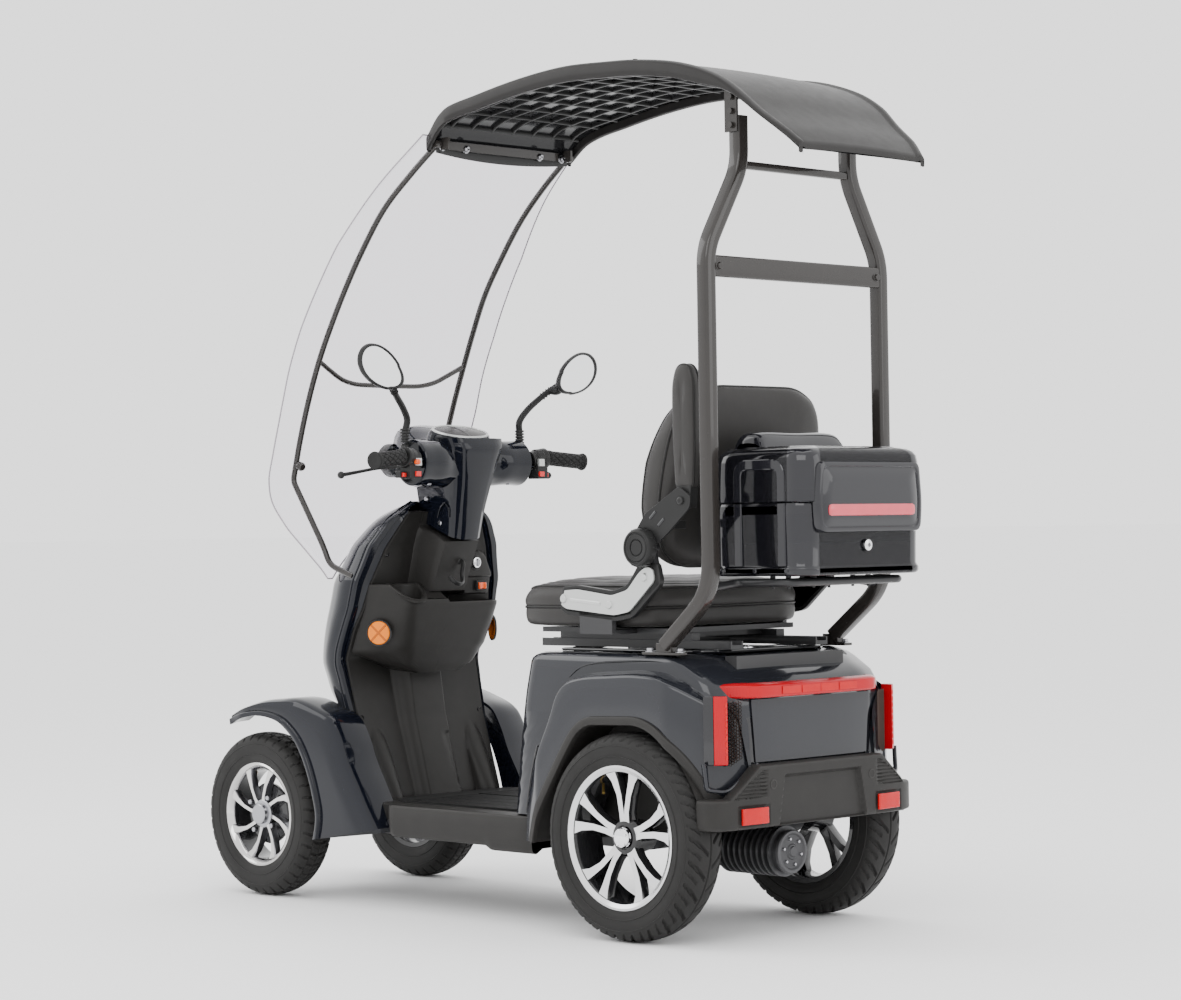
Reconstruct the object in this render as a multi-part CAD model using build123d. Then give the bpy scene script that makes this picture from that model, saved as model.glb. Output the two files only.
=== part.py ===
from build123d import *
import math
import os

# A four-wheeled electric mobility scooter with a roof, a windshield and a luggage box.
#
# Every point below is in the design frame: the origin is on the ground under the rear axle, +X
# points forward, +Y to the rider's left and +Z up, in millimetres.  save() moves each piece
# back by ORIGIN_X, so the written parts have their origin under the middle of the scooter.

ORIGIN_X = 481.5

# Wheels
REAR_RADIUS, REAR_WIDTH, REAR_TRACK, REAR_BEAD = 205, 96, 540, 138
FRONT_RADIUS, FRONT_WIDTH, FRONT_TRACK, FRONT_BEAD = 182, 84, 456, 112
WHEELBASE = 1177
FIT = 0.1
GAP = 0.4

# Steering
KINGPIN_Y = 186
ARM_LENGTH = 70
HEAD_X, HEAD_Z = 822, 800
RAKE = math.radians(21)
HEAD_TUBE, SHAFT = 20, 14
BAR_RADIUS = 11
BAR_POINTS = [(709, 309, 960), (728, 216, 969), (766, 90, 945)]

# Body
SKIN = 5
FLOOR_TOP, FLOOR_BOTTOM = 226, 155
TUNNEL_HALF = 62
DECK_Z = 562
SEAT_RAIL_Y = 127
POST_X, POST_Y, POST_TOP_Y, POST_SIZE = -205, 259, 163, 30
ROOF_HALF = 228
BOX_HALF, BOX_FRONT, BOX_REAR, BOX_FLOOR = 181, -120, -375, 712
LID_SEAM, LID_HINGE_Z = 852, 955


# Helpers -------------------------------------------------------------------------------------

def outline(points, radius=0):
    """A flat face from its corners, each rounded to the radius."""
    if radius:
        return make_face(FilletPolyline(*points, radius=radius, close=True))
    return make_face(Polyline(*points, close=True))


def side(points, y0, y1, radius=0):
    """A side-view outline of (x, z) corners, from y0 to y1."""
    plane = Plane(origin=(0, y1, 0), x_dir=(1, 0, 0), z_dir=(0, -1, 0))
    return extrude(plane * outline(points, radius), y1 - y0)


def plan(points, z0, z1, radius=0):
    """A top-view outline of (x, y) corners, from z0 to z1."""
    return extrude(Plane.XY.offset(z0) * outline(points, radius), z1 - z0)


def front(points, x0, x1, radius=0):
    """A front-view outline of (y, z) corners, from x0 to x1."""
    plane = Plane(origin=(x0, 0, 0), x_dir=(0, 1, 0), z_dir=(1, 0, 0))
    return extrude(plane * outline(points, radius), x1 - x0)


def mirrored_outline(points):
    """Corners whose second value is +Y, closed by their mirror image in the middle plane."""
    return points + [(a, -b) for a, b in reversed(points)]


def front_outline(points):
    """Corners (y, z) of the left half, closed by their mirror image."""
    return points + [(-y, z) for y, z in reversed(points)]


def block(x0, x1, y0, y1, z0, z1):
    centre = Pos((x0 + x1) / 2, (y0 + y1) / 2, (z0 + z1) / 2)
    return centre * Box(x1 - x0, y1 - y0, z1 - z0)


def rod(start, end, radius):
    start, end = Vector(*start), Vector(*end)
    plane = Plane(origin=start, z_dir=end - start)
    return extrude(plane * Circle(radius), (end - start).length)


def pipe(points, radius, bend):
    """A round bar along straight runs joined by arcs."""
    path = FilletPolyline(*points, radius=bend)
    return sweep(Plane(origin=path @ 0, z_dir=path % 0) * Circle(radius), path=path)


def beam(points, width, depth):
    """A rectangular bar along straight runs, with the width across the scooter."""
    runs = []
    for start, end in zip(points, points[1:]):
        start, end = Vector(*start), Vector(*end)
        along = (end - start).normalized()
        overlap = depth / 4
        level = Vector(1, 0, 0) - along * along.X
        plane = Plane(origin=start - along * overlap, x_dir=level, z_dir=along)
        runs.append(extrude(plane * Rectangle(depth, width), (end - start).length + 2 * overlap))
    return joined(runs)


def joined(shapes):
    total = shapes[0]
    for shape in shapes[1:]:
        total = total + shape
    return total


def mirrored(shape):
    return mirror(shape, about=Plane.XZ)


def both(shape):
    return shape + mirrored(shape)


def turned(x, z, points, radius=0):
    """A ring round the axle line at (x, z), from corners (distance from the axle, y)."""
    return revolve(Pos(x, 0, z) * outline(points, radius), Axis((x, 0, z), (0, 1, 0)), 360)


def shifted(points, dx, dz=0):
    return [(x + dx, z + dz) for x, z in points]


def thickened(line, thickness):
    """A strip between a line of corners and the same line moved square to itself, to its right."""
    moved = []
    for i, (x, z) in enumerate(line):
        (x0, z0), (x1, z1) = line[max(i - 1, 0)], line[min(i + 1, len(line) - 1)]
        length = math.hypot(x1 - x0, z1 - z0)
        moved.append((x + thickness * (z1 - z0) / length, z - thickness * (x1 - x0) / length))
    return line + moved[::-1]


def on_steering(z, across=0, sideways=0):
    """The point at height z on the steering axis, moved square to it."""
    x = HEAD_X - (z - HEAD_Z) * math.tan(RAKE)
    return (x + across * math.cos(RAKE), sideways, z + across * math.sin(RAKE))


def save(name, shape):
    export_step(Pos(-ORIGIN_X, 0, 0) * shape, f"parts/{name}.step")


def save_pair(name, left):
    save(f"{name}_left", left)
    save(f"{name}_right", mirrored(left))


# Wheels --------------------------------------------------------------------------------------

def tyre(x, radius, width, bead, y):
    def ring(half_bead, half_side, half_tread, low, shoulder, high):
        half = [(low, half_bead), (shoulder, half_side), (high - 28, half_side), (high, half_tread)]
        corners = half + [(r, -a) for r, a in reversed(half)]
        return [(r, a + y) for r, a in corners]

    w = width
    outer = ring(w * 0.40, w * 0.5, w * 0.30, bead, bead + 12, radius)
    inner = ring(w * 0.28, w * 0.38, w * 0.22, bead - 4, bead + 14, radius - 10)
    return turned(x, radius, outer, 4) - turned(x, radius, inner, 3)


def rim(x, z, bead, width, y, hub_radius, hub, bore, spoke_y, spokes, spoke_width):
    barrel = turned(x, z, [(bead - 8, y - width / 2), (bead - 8, y + width / 2),
                           (bead, y + width / 2), (bead, y - width / 2)])
    shape = barrel + rod((x, hub[0], z), (x, hub[1], z), hub_radius)
    for i in range(spokes):
        arm = block(hub_radius - 4, bead - 4, spoke_y[0], spoke_y[1],
                    -spoke_width / 2, spoke_width / 2)
        shape = shape + Pos(x, 0, z) * Rot(0, 360 * i / spokes, 0) * arm
    return shape - rod((x, hub[0] - 1, z), (x, hub[1] - 8, z), bore + FIT)


def wheels():
    save_pair("tyre_rear", tyre(0, REAR_RADIUS, REAR_WIDTH, REAR_BEAD, REAR_TRACK / 2))
    save_pair("tyre_front", tyre(WHEELBASE, FRONT_RADIUS, FRONT_WIDTH, FRONT_BEAD, FRONT_TRACK / 2))
    save_pair("rim_rear", rim(0, REAR_RADIUS, REAR_BEAD, REAR_WIDTH * 0.86, REAR_TRACK / 2,
                              34, (232, 312), 12, (286, 304), 10, 15))
    save_pair("rim_front", rim(WHEELBASE, FRONT_RADIUS, FRONT_BEAD, FRONT_WIDTH * 0.86,
                               FRONT_TRACK / 2, 28, (212, 262), 10, (243, 258), 8, 18))


# Chassis -------------------------------------------------------------------------------------

def main_frame():
    rail = block(62, 960, 130, 160, 165, 195) + block(62, 92, 130, 160, 165, 282)
    rail = rail + block(-180, 92, 130, 160, 252, 282) + block(960, 1165, 50, 80, 165, 195)
    rail = rail + block(-178, -148, 130, 160, 282, 556)
    members = [block(x, x + 30, -160, 160, 165, 195) for x in (330, 640, 930)]
    members += [block(-178, -148, -130, 130, 526, 556), block(1010, 1040, -80, 80, 165, 195)]
    axle = block(1163, 1191, -166, 166, 150, 214)
    ears = both(block(1163, 1191, 165, 196, 150, 166) + block(1163, 1191, 165, 196, 198, 214))
    kingpins = both(rod((WHEELBASE, KINGPIN_Y, 140), (WHEELBASE, KINGPIN_Y, 220), 8 + FIT))
    gusset = both(side([(940, 190), (1035, 190), (1018, 345), (985, 360)], 6, 24))
    head = rod(on_steering(340), on_steering(768), HEAD_TUBE)
    bore = rod(on_steering(352), on_steering(790), SHAFT + FIT)
    return joined([both(rail), *members, axle, ears, gusset, head]) - kingpins - bore


def knuckle():
    body = block(1164, 1190, 177, 194, 168, 196)
    pin = rod((WHEELBASE, KINGPIN_Y, 150), (WHEELBASE, KINGPIN_Y, 214), 8)
    stub = rod((WHEELBASE, KINGPIN_Y, FRONT_RADIUS), (WHEELBASE, 252, FRONT_RADIUS), 10)
    arm_x = WHEELBASE - ARM_LENGTH
    arm = block(arm_x - 6, 1166, 177.5, 183, 171, 181) + rod((arm_x, 180, 145), (arm_x, 180, 172), 3.5)
    return joined([body, pin, stub, arm])


def tie_rod():
    eye_x = WHEELBASE - ARM_LENGTH + 6
    eye = rod((eye_x, 180, 145), (eye_x, 180, 157), 18) - rod((eye_x, 180, 144), (eye_x, 180, 158), 13)
    return rod((eye_x, -164, 151), (eye_x, 164, 151), 5) + both(eye)


def motor_transaxle():
    housing = rod((0, -205, REAR_RADIUS), (0, 205, REAR_RADIUS), 30)
    gearbox = rod((0, 10, REAR_RADIUS - 10), (0, 95, REAR_RADIUS - 10), 46)
    stubs = both(rod((0, 205, REAR_RADIUS), (0, 300, REAR_RADIUS), 12))
    motor = rod((-20, 50, 170), (-215, 50, 170), 40)
    fins = [rod((x, 50, 170), (x + 5, 50, 170), 50) for x in range(-200, -50, 15)]
    return joined([housing, gearbox, stubs, motor, *fins])


def shock_absorbers():
    front_shock = rod((WHEELBASE, 120, 214), (WHEELBASE, 120, 345), 16)
    rear_shock = rod((0, 180, 236), (0, 180, 400), 18)
    return both(front_shock) + both(rear_shock)


def battery_pack():
    boxes = [block(96, 290, y, y + 176, 232, 400) for y in (-178, 2)]
    handles = [block(120, 266, y + 83, y + 93, 400, 416) for y in (-178, 2)]
    return joined(boxes + handles)


# Floor and front body ------------------------------------------------------------------------

def floor_pan():
    half = [(322, 262), (740, 262), (756, 236), (812, 225), (852, 186)]
    inner = [(328, 256), (736, 256), (752, 230), (810, 219), (848, 180)]
    tray = plan(mirrored_outline(half), FLOOR_BOTTOM, FLOOR_TOP)
    rail_notches = both(block(300, 900, 129, 161, 150, 196))
    return tray - plan(mirrored_outline(inner), FLOOR_BOTTOM - 1, FLOOR_TOP - SKIN) - rail_notches


def floor_mat():
    mat = plan(mirrored_outline([(385, 214), (745, 214), (790, 190), (826, 120)]), FLOOR_TOP, 229)
    ribs = [block(x, x + 6, -205, 205, 229, 231) for x in range(395, 740, 14)]
    return joined([mat, *ribs])


# The rider's side of the leg shield: its wings, and the tunnel and console that stand proud of it.
WING_LINE = [(869, 228), (923, 400), (953, 530), (900, 640), (864, 775), (836, 852)]
TUNNEL_LINE = [(838, 228), (888, 400), (903, 496), (880, 560), (838, 650), (808, 711), (774, 786)]
SHIELD_FRONT = [(183, 220), (184, 400), (190, 530), (192, 600), (176, 692), (146, 775), (106, 845),
                (100, 860)]


def shield_solid(grow):
    """All that lies in front of the leg shield's face, moved forward by grow."""
    wing_half = TUNNEL_HALF - grow
    wings = WING_LINE + [(1100, 852), (1100, 228)]
    tunnel = TUNNEL_LINE + [(900, 834), (1100, 834), (1100, 228)]
    console = [(930, 652), (838, 652), (831, 690), (831, 748), (848, 762), (930, 790)]
    left = side(shifted(wings, grow), wing_half, 240) + mirrored(side(shifted(wings, grow), wing_half, 240))
    middle = side(shifted(tunnel, grow, -grow), -wing_half, wing_half)
    box = side(shifted(console, grow), -128 + grow, -wing_half + 1)
    return joined([left, middle, box])


def leg_shield():
    shell = (shield_solid(0) & front(front_outline(SHIELD_FRONT), 700, 1000)) - shield_solid(SKIN)
    shaft_hole = rod(on_steering(740), on_steering(880), SHAFT + 8)
    column_space = rod(on_steering(811), on_steering(900), 88)
    screws = [(182, 400), (178, 282), (150, 760)]
    holes = [rod((850, y * s, z), (990, y * s, z), 4) for y, z in screws for s in (1, -1)]
    bumps = both(side([(862, 228), (884, 300), (920, 380), (905, 320), (890, 228)], 118, 168))
    beyond = side(shifted(WING_LINE, SKIN + 0.5) + [(1100, 852), (1100, 228)], -250, 250)
    return joined([shell, bumps - shield_solid(0.01)]) - beyond - shaft_hole - column_space - joined(holes)


def storage_pocket():
    profile = [(965, 496), (929, 496), (804, 646), (804, 656), (850, 692), (965, 692)]
    top_view = mirrored_outline([(800, 131), (890, 172), (965, 184)])
    inner_view = mirrored_outline([(806, 124), (890, 165), (965, 177)])
    outer = side(profile, -190, 190) & plan(top_view, 480, 700)
    outer = outer - block(790, 980, -200, 18, 650, 700)
    cup_x, cup_y = 846, 108
    outer = outer + rod((cup_x, cup_y, 625), (cup_x, cup_y, 692), 40)
    outer = outer - shield_solid(-0.5)
    hollow = side(shifted(profile, 7, 6), -190, 12) & plan(inner_view, 480, 800)
    cup = rod((cup_x, cup_y, 637), (cup_x, cup_y, 700), 36)
    return outer - hollow - cup


COWL_FRONT = [(192, 236), (200, 400), (218, 560), (220, 700), (196, 780), (140, 850), (96, 880)]


def cowl_solid(inset):
    """The front body, drawn in by the inset."""
    face = [(852, 874 - inset), (930 - inset, 860 - inset), (1010 - inset, 790), (1065 - inset, 700),
            (1092 - inset, 600), (1096 - inset, 520), (1070 - inset, 452 + inset), (1012 - inset, 398 + inset),
            (966 - inset, 330), (958 - inset, 236)]
    profile = shifted(WING_LINE[::-1], SKIN + 1)[:-1] + [(878, 236)]
    rounded = [(y - inset, z) for y, z in COWL_FRONT]
    return side(face + profile[::-1], -230, 230) & front(front_outline(rounded), 800, 1130)


def front_cowl():
    rear_open = side(shifted(WING_LINE, SKIN + 1) + [(870, 900), (800, 900), (800, 200)], -170, 170)
    shell = cowl_solid(0) - cowl_solid(SKIN) - rear_open
    collar = rod(on_steering(700), on_steering(900), 96)
    strut_holes = both(rod((892, 205.5, 706.6), (975, 221.3, 740.9), 8))
    keel_opening = side([(930, 230), (930, 420), (1058, 468), (1058, 230)], -43, 43)
    return shell - collar - strut_holes - keel_opening + nose_keel()


def nose_keel():
    """The narrow apron between the front wheels."""
    keel = side([(1060, 445), (1160, 380), (1215, 300), (1215, 235), (1050, 235), (1012, 392)], -48, 48)
    hollow = side([(1040, 440), (1154, 374), (1209, 297), (1209, 230), (1056, 230), (1020, 385)], -43, 43)
    return (keel - hollow) - cowl_solid(-0.01)


FENDER = [(1250, 384), (1200, 410), (1138, 432), (1030, 443), (960, 426), (891, 398), (847, 310),
          (803, 239), (760, 175)]


def front_fenders():
    lip = [(960, 140), (954, 200), (975, 273), (1020, 354), (1079, 399), (1139, 409), (1246, 378)]
    panel = side(FENDER + [(760, 160)] + lip, 276, 284)
    lower = [(x + 3, z - 7) for x, z in FENDER]
    arch = side(FENDER + lower[::-1], 242, 276)
    bridge = side(FENDER[3:7] + lower[3:7][::-1], 223, 242)
    return both(joined([panel, arch, bridge]))


# Rear body -----------------------------------------------------------------------------------

ARCH = [(262, 180), (239, 239), (198, 303), (156, 366), (124, 408), (92, 426), (-46, 430), (-92, 412),
        (-150, 362), (-192, 300), (-216, 240), (-218, 228)]
REAR_PLAN = [(372, 232), (345, 262), (240, 302), (-120, 302), (-200, 264), (-226, 186)]


def rear_solid(inset):
    top = DECK_Z - 2 - inset
    middle = [(370 - inset, 229), (365 - inset, 278), (350 - inset, 394), (335 - inset, 480),
              (314 - inset, top), (-132 + inset, top), (-205 + inset, 510), (-226 + inset, 470),
              (-226 + inset, 229)]
    flare = [(302 - inset, 229), (270 - inset, 310), (203 - inset, 437), (188 - inset, 478), (159, 506 - inset),
             (112, 516 - inset), (-28, 525 - inset), (-88, 521 - inset), (-132, 503 - inset),
             (-212 + inset, 455), (-226 + inset, 229)]
    body = side(middle, -262 + inset, 262 - inset) + side(flare, -302 + inset, 302 - inset)
    half = [(x - math.copysign(inset, x), y - inset) for x, y in REAR_PLAN]
    return body & plan(mirrored_outline(half), 200, 600)


def rear_body():
    shell = rear_solid(0) - rear_solid(SKIN)
    liners = rear_solid(SKIN) & both(block(-240, 380, 206, 212, 229, 440))
    openings = both(side([(262, 150)] + ARCH + [(-218, 150)], 213, 330))
    axle_gap = block(-40, 40, -300, 300, 200, 245)
    low_rear = block(-240, -190, -230, 230, 200, 352)
    battery_access = block(-100, 290, -190, 190, 540, 580)
    drain = block(-240, 384, -206, 206, 200, 232)
    frame_gap = both(block(-186, -140, 122, 168, 500, 580)) + block(-186, -140, -160, 160, 520, 580)
    cuts = [openings, axle_gap, low_rear, battery_access, drain, frame_gap, lamp_space()]
    return (shell + liners) - joined(cuts)


def lamp_bar(out, low, high):
    ends = [(-122, 283), (-236 - out, 198 + out), (-250 - out, 60)]
    inner = [(-232, 60), (-220, 186), (-116, 270)]
    return plan(mirrored_outline([(x, y) for x, y in ends]) + [], low, high) - plan(
        mirrored_outline([(0, 268), (-116, 268)] + [(-220, 184), (-231, 60)]), low - 1, high + 1)


def corner_lamps(out):
    return both(plan([(-228 - out, 246), (-196, 274 + out), (-178, 262), (-205, 240)], 351 - out, 474 + out))


def lamp_space():
    return lamp_bar(2, 476, 505) + corner_lamps(0.5)


def tail_lights():
    return lamp_bar(0, 478, 503) + corner_lamps(0)


def rear_deck():
    half = [(306, 180), (296, 196), (-110, 196), (-134, 150)]
    lock = rod((-60, 0, DECK_Z + 5), (-60, 0, DECK_Z + 8), 14)
    return plan(mirrored_outline(half), DECK_Z - 1, DECK_Z + 5) + lock


def arch_trims():
    return both(side(thickened(ARCH, 24), 302.5, 320))


def rear_bumper():
    half = [(-228, 268), (-206, 290), (-206, 300), (-236, 300), (-252, 260), (-258, 190)]
    shell = plan(mirrored_outline(half), 232, 348) - plan(
        mirrored_outline([(-200, 262), (-228, 262), (-246, 256), (-252, 186)]), 238, 342)
    ramp = side([(-270, 232), (-270, 225), (-180, 225), (-180, 240), (-236, 236)], -310, 310)
    recess = front([(120, 255), (120, 335), (-120, 335), (-120, 255)], -262, -256, 8)
    holes = both(rod((-270, 148, 311), (-240, 148, 311), 6))
    return shell - ramp - recess - holes - rear_solid(-0.5)


def rear_reflectors():
    lens = [(-258.4, 166), (-258.4, 190), (-254.3, 236), (-258.8, 236), (-263, 190), (-263, 166)]
    return both(plan(lens, 236, 266))


def side_reflectors():
    place = Plane(origin=(866, 168, 588), x_dir=(0, 0, 1), z_dir=(-0.46, 0.888, 0))
    return both(extrude(place * Circle(28), 6))


# Seat ----------------------------------------------------------------------------------------

def seat_rails():
    rail = block(-150, 378, SEAT_RAIL_Y - 18, SEAT_RAIL_Y + 18, 568, 576)
    lips = [block(-150, 378, SEAT_RAIL_Y + y, SEAT_RAIL_Y + y + 4, 576, 584) for y in (-18, 14)]
    return both(joined([rail, *lips]))


def seat_carriage():
    slider = block(-40, 330, SEAT_RAIL_Y - 12, SEAT_RAIL_Y + 12, 576.5, 598)
    lever = pipe([(250, 100, 590), (350, 100, 590), (350, -100, 590), (250, -100, 590)], 5, 20)
    return both(slider) + block(0, 30, -120, 120, 588, 598) + block(240, 260, -120, 120, 584, 598) + lever


def seat_base():
    pan = block(-20, 330, -190, 190, 599, 609)
    lug = block(60, 150, 188, 262, 599, 607) + block(60, 150, 250, 262, 599, 650)
    arm = side([(206, 660), (198, 688), (153, 690), (57, 678), (8, 690), (-38, 745), (-60, 745), (-70, 700),
                (8, 640), (50, 633), (186, 645)], 250, 262)
    pivot = rod((-35, 236, 770), (-35, 262, 770), 14) + side([(-60, 745), (-52, 784), (-18, 784),
                                                            (-20, 715)], 250, 262)
    return pan + both(joined([lug, arm, pivot]))


def seat_cushion():
    profile = [(-30, 611), (-30, 690), (60, 700), (250, 700), (340, 694), (392, 668), (384, 632), (350, 611)]
    half = [(392, 175), (372, 214), (330, 230), (40, 230), (-10, 214), (-30, 170)]
    return side(profile, -230, 230, 6) & plan(mirrored_outline(half), 600, 720)


def backrest():
    profile = [(22, 738), (20, 850), (4, 935), (-40, 1024), (-66, 1078), (-96, 1084), (-112, 1060),
               (-90, 950), (-64, 840), (-40, 738)]
    half = [(170, 728), (205, 770), (222, 860), (220, 1000), (196, 1060), (120, 1088)]
    pad = side(profile, -225, 225) & front(front_outline(half), -130, 40)
    pad = pad - both(rod((-35, 200, 770), (-35, 240, 770), 18))
    hub = rod((-35, 262.5, 770), (-35, 268, 770), 32)
    link = side([(-60, 770), (-160, 852), (-160, 872), (-128, 884), (-12, 786), (-12, 756)], 263, 268)
    knob = rod((-35, 268, 770), (-35, 290, 770), 38)
    bridge = block(-92, -66, 200, 268, 806, 822)
    clear_pivot = rod((-137, 230, 860), (-137, 300, 860), 8 + FIT)
    return pad + both(joined([hub, link, knob, bridge]) - clear_pivot)


def armrest(raised):
    pad = side([(-156, 880), (-116, 880), (-112, 1100), (-124, 1125), (-152, 1125), (-164, 1100)],
               231, 261, 8)
    neck = side([(-152, 846), (-122, 846), (-118, 884), (-156, 884)], 236, 261)
    pin = rod((-137, 256, 860), (-137, 274, 860), 8)
    arm = joined([pad, neck, pin])
    if raised:
        return arm
    return mirrored(Pos(-137, 0, 860) * Rot(0, 88, 0) * Pos(137, 0, -860) * arm)


# Luggage -------------------------------------------------------------------------------------

def luggage_rack():
    loop = [(-192, 243, 692), (-192, 165, 700), (-327, 165, 700), (-327, -165, 700),
            (-192, -165, 700), (-192, -243, 692)]
    cross = [rod((x, -160, 700), (x, 160, 700), 6) for x in (-240, -280)]
    return joined([pipe(loop, 8, 22), *cross])


def luggage_box():
    half = [(BOX_FRONT, 150), (BOX_FRONT - 26, BOX_HALF), (BOX_REAR + 24, BOX_HALF), (BOX_REAR, 160)]
    inner = [(BOX_FRONT - 5, 146), (BOX_FRONT - 30, BOX_HALF - 5), (BOX_REAR + 28, BOX_HALF - 5),
             (BOX_REAR + 5, 156)]
    tub = plan(mirrored_outline(half), BOX_FLOOR, LID_SEAM)
    tub = tub - plan(mirrored_outline(inner), BOX_FLOOR + SKIN, LID_SEAM + 1)
    barrel = rod((BOX_REAR - 8, 0, 769), (BOX_REAR + 2, 0, 769), 10)
    straps = both(block(BOX_FRONT - 6, BOX_FRONT, 60, 110, LID_SEAM - 40, LID_HINGE_Z))
    pins = both(rod((BOX_FRONT - 3, 55, LID_HINGE_Z), (BOX_FRONT - 3, 115, LID_HINGE_Z), 4))
    return joined([tub, barrel, straps, pins])


def luggage_lid():
    front_x = BOX_FRONT - 8
    seam = LID_SEAM + GAP
    profile = [(front_x, seam), (front_x - 4, 948), (front_x - 24, 962), (-356, 957), (-386, 936),
               (BOX_REAR - 2, seam)]
    inner = [(front_x - 6, seam - 1), (front_x - 10, 942), (front_x - 26, 956), (-352, 951),
             (-378, 934), (BOX_REAR + 4, seam - 1)]
    half = [(front_x, 150), (front_x - 26, BOX_HALF), (-366, BOX_HALF), (-392, 150)]
    top = side(profile, -BOX_HALF, BOX_HALF) & plan(mirrored_outline(half), 800, 1000)
    shell = top - side(inner, -BOX_HALF + 6, BOX_HALF - 6)
    panel = plan(mirrored_outline([(-378, 150), (-384, 158), (-392, 150)]), 790, 930)
    panel = panel - side([(-377, 780), (-377, seam), (-300, seam), (-300, 780)], -170, 170)
    ridge = side([(-150, 958), (-160, 992), (-205, 990), (-222, 958)], -120, 120)
    strip = block(-396, -391, -129, 129, 826, 848)
    lock_gap = rod((-400, 0, 769), (-370, 0, 769), 14)
    return joined([shell, panel, ridge, strip]) - lock_gap


# Canopy --------------------------------------------------------------------------------------

def canopy_post():
    path = [(-78, 252, 578), (POST_X, POST_Y, 682), (POST_X, POST_Y, 1342),
            (POST_X - 3, POST_TOP_Y, 1505), (POST_X - 3, POST_TOP_Y, 1600)]
    tube = beam(path, POST_SIZE, POST_SIZE) - beam(path, POST_SIZE - 5, POST_SIZE - 5)
    foot = block(-118, -20, 236, 261, 560.5, 566)
    bolts = [rod((x, 248, 566), (x, 248, 572), 6) for x in (-110, -30)]
    web = block(-96, -56, 240, 259, 566, 580)
    return joined([tube, foot, web, *bolts])


def canopy_crossbars():
    low = block(POST_X - 9, POST_X + 3, -243.5, 243.5, 1287, 1331)
    high = block(POST_X - 10, POST_X + 2, -145, 145, 1501, 1517)
    return low + high


ROOF_TOP = [(632, 1654), (581, 1694), (464, 1717), (328, 1737), (208, 1745), (100, 1740), (4, 1734),
            (-107, 1715), (-197, 1684), (-250, 1652), (-302, 1606), (-354, 1565), (-382, 1537)]


def roof_panel():
    skin = ROOF_TOP + [(x, z - 10) for x, z in reversed(ROOF_TOP)]
    rim = ROOF_TOP[:-3] + [(x, z - 26) for x, z in reversed(ROOF_TOP[:-3])]
    half = [(636, 214), (560, ROOF_HALF + 2), (-260, ROOF_HALF), (-350, 205), (-384, 186)]
    sheet = side(skin, -ROOF_HALF - 2, ROOF_HALF + 2) + both(side(rim, ROOF_HALF - 12, ROOF_HALF + 2))
    return sheet & plan(mirrored_outline(half), 1400, 1800)


GLASS_LINE = [(644, 1650), (770, 1548), (868, 1436), (936, 1338), (984, 1255), (1024, 1170), (1052, 1085),
              (1088, 985), (1107, 925), (1106, 880), (1064, 822), (1016, 766), (988, 730), (978, 708)]
GLASS_WIDTH = [(226, 1660), (276, 1430), (289, 1255), (291, 1085), (286, 930), (268, 820), (238, 745),
               (216, 700)]


def windshield():
    sheet = side(thickened(GLASS_LINE, 3), -300, 300)
    around_cowl = cowl_solid(-14) + block(800, 1200, -200, 200, 650, 800)
    return (sheet & front(front_outline(GLASS_WIDTH), 600, 1200)) - around_cowl


def windshield_frame():
    path = [(620, 195, 1634), (700, 199, 1578), (785, 205, 1508), (860, 207, 1420), (914, 208, 1345),
            (999, 217, 1186), (1068, 218, 1010), (1090, 220, 925), (990, 220, 780), (968, 220, 738),
            (905, 208, 712)]
    struts = pipe(path, 6, 12) + pipe([(x, -y, z) for x, y, z in path], 6, 12)
    knobs = [rod((x - 22, y, z - 8), (x - 7, y, z - 3), 9) for x, y, z in ((1078, 219, 962),)]
    half = [(999, 210.5, 1186), (1012, 150, 1150), (1016, 60, 1140)]
    brace = pipe(half + [(x, -y, z) for x, y, z in reversed(half)], 6, 60)
    return struts + both(joined(knobs)) + brace


def canopy_fasteners():
    bracket = side([(-222, 1572), (-190, 1572), (-190, 1668), (-222, 1650)], POST_TOP_Y + 15.5, POST_TOP_Y + 20)
    bolts = [rod((POST_X - 3, POST_TOP_Y + 20, z), (POST_X - 3, POST_TOP_Y + 26, z), 6)
             for z in (1585, 1612, 1640)]
    clamp = block(600, 622, 180, 186, 1620, 1645)
    visor = block(624, 630, -165, 165, 1622, 1640)
    return both(joined([bracket, clamp, *bolts])) + visor


# Steering head -------------------------------------------------------------------------------

def handlebar():
    bar = pipe(BAR_POINTS + [(x, -y, z) for x, y, z in reversed(BAR_POINTS)], BAR_RADIUS, 30)
    return bar + rod(on_steering(360), on_steering(944), SHAFT) + block(748, 784, -26, 26, 928, 962)


def column_solid(inset):
    i = inset
    profile = [(708 + i, 1002 - i), (752 + i, 790 - i * 4), (872 - i, 836 - i * 4), (864 - i, 893 - i),
               (744 - i, 893 - i), (734 - i, 1002 - i)]
    half = [(40 - i, 770), (48 - i, 840), (64 - i, 930), (74 - i, 1010)]
    return side(profile, -80, 80) & front(front_outline(half), 690, 900)


def column_cover():
    shaft_space = rod(on_steering(840), on_steering(930), SHAFT + 6)
    return column_solid(0) - column_solid(4) - shaft_space


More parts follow.
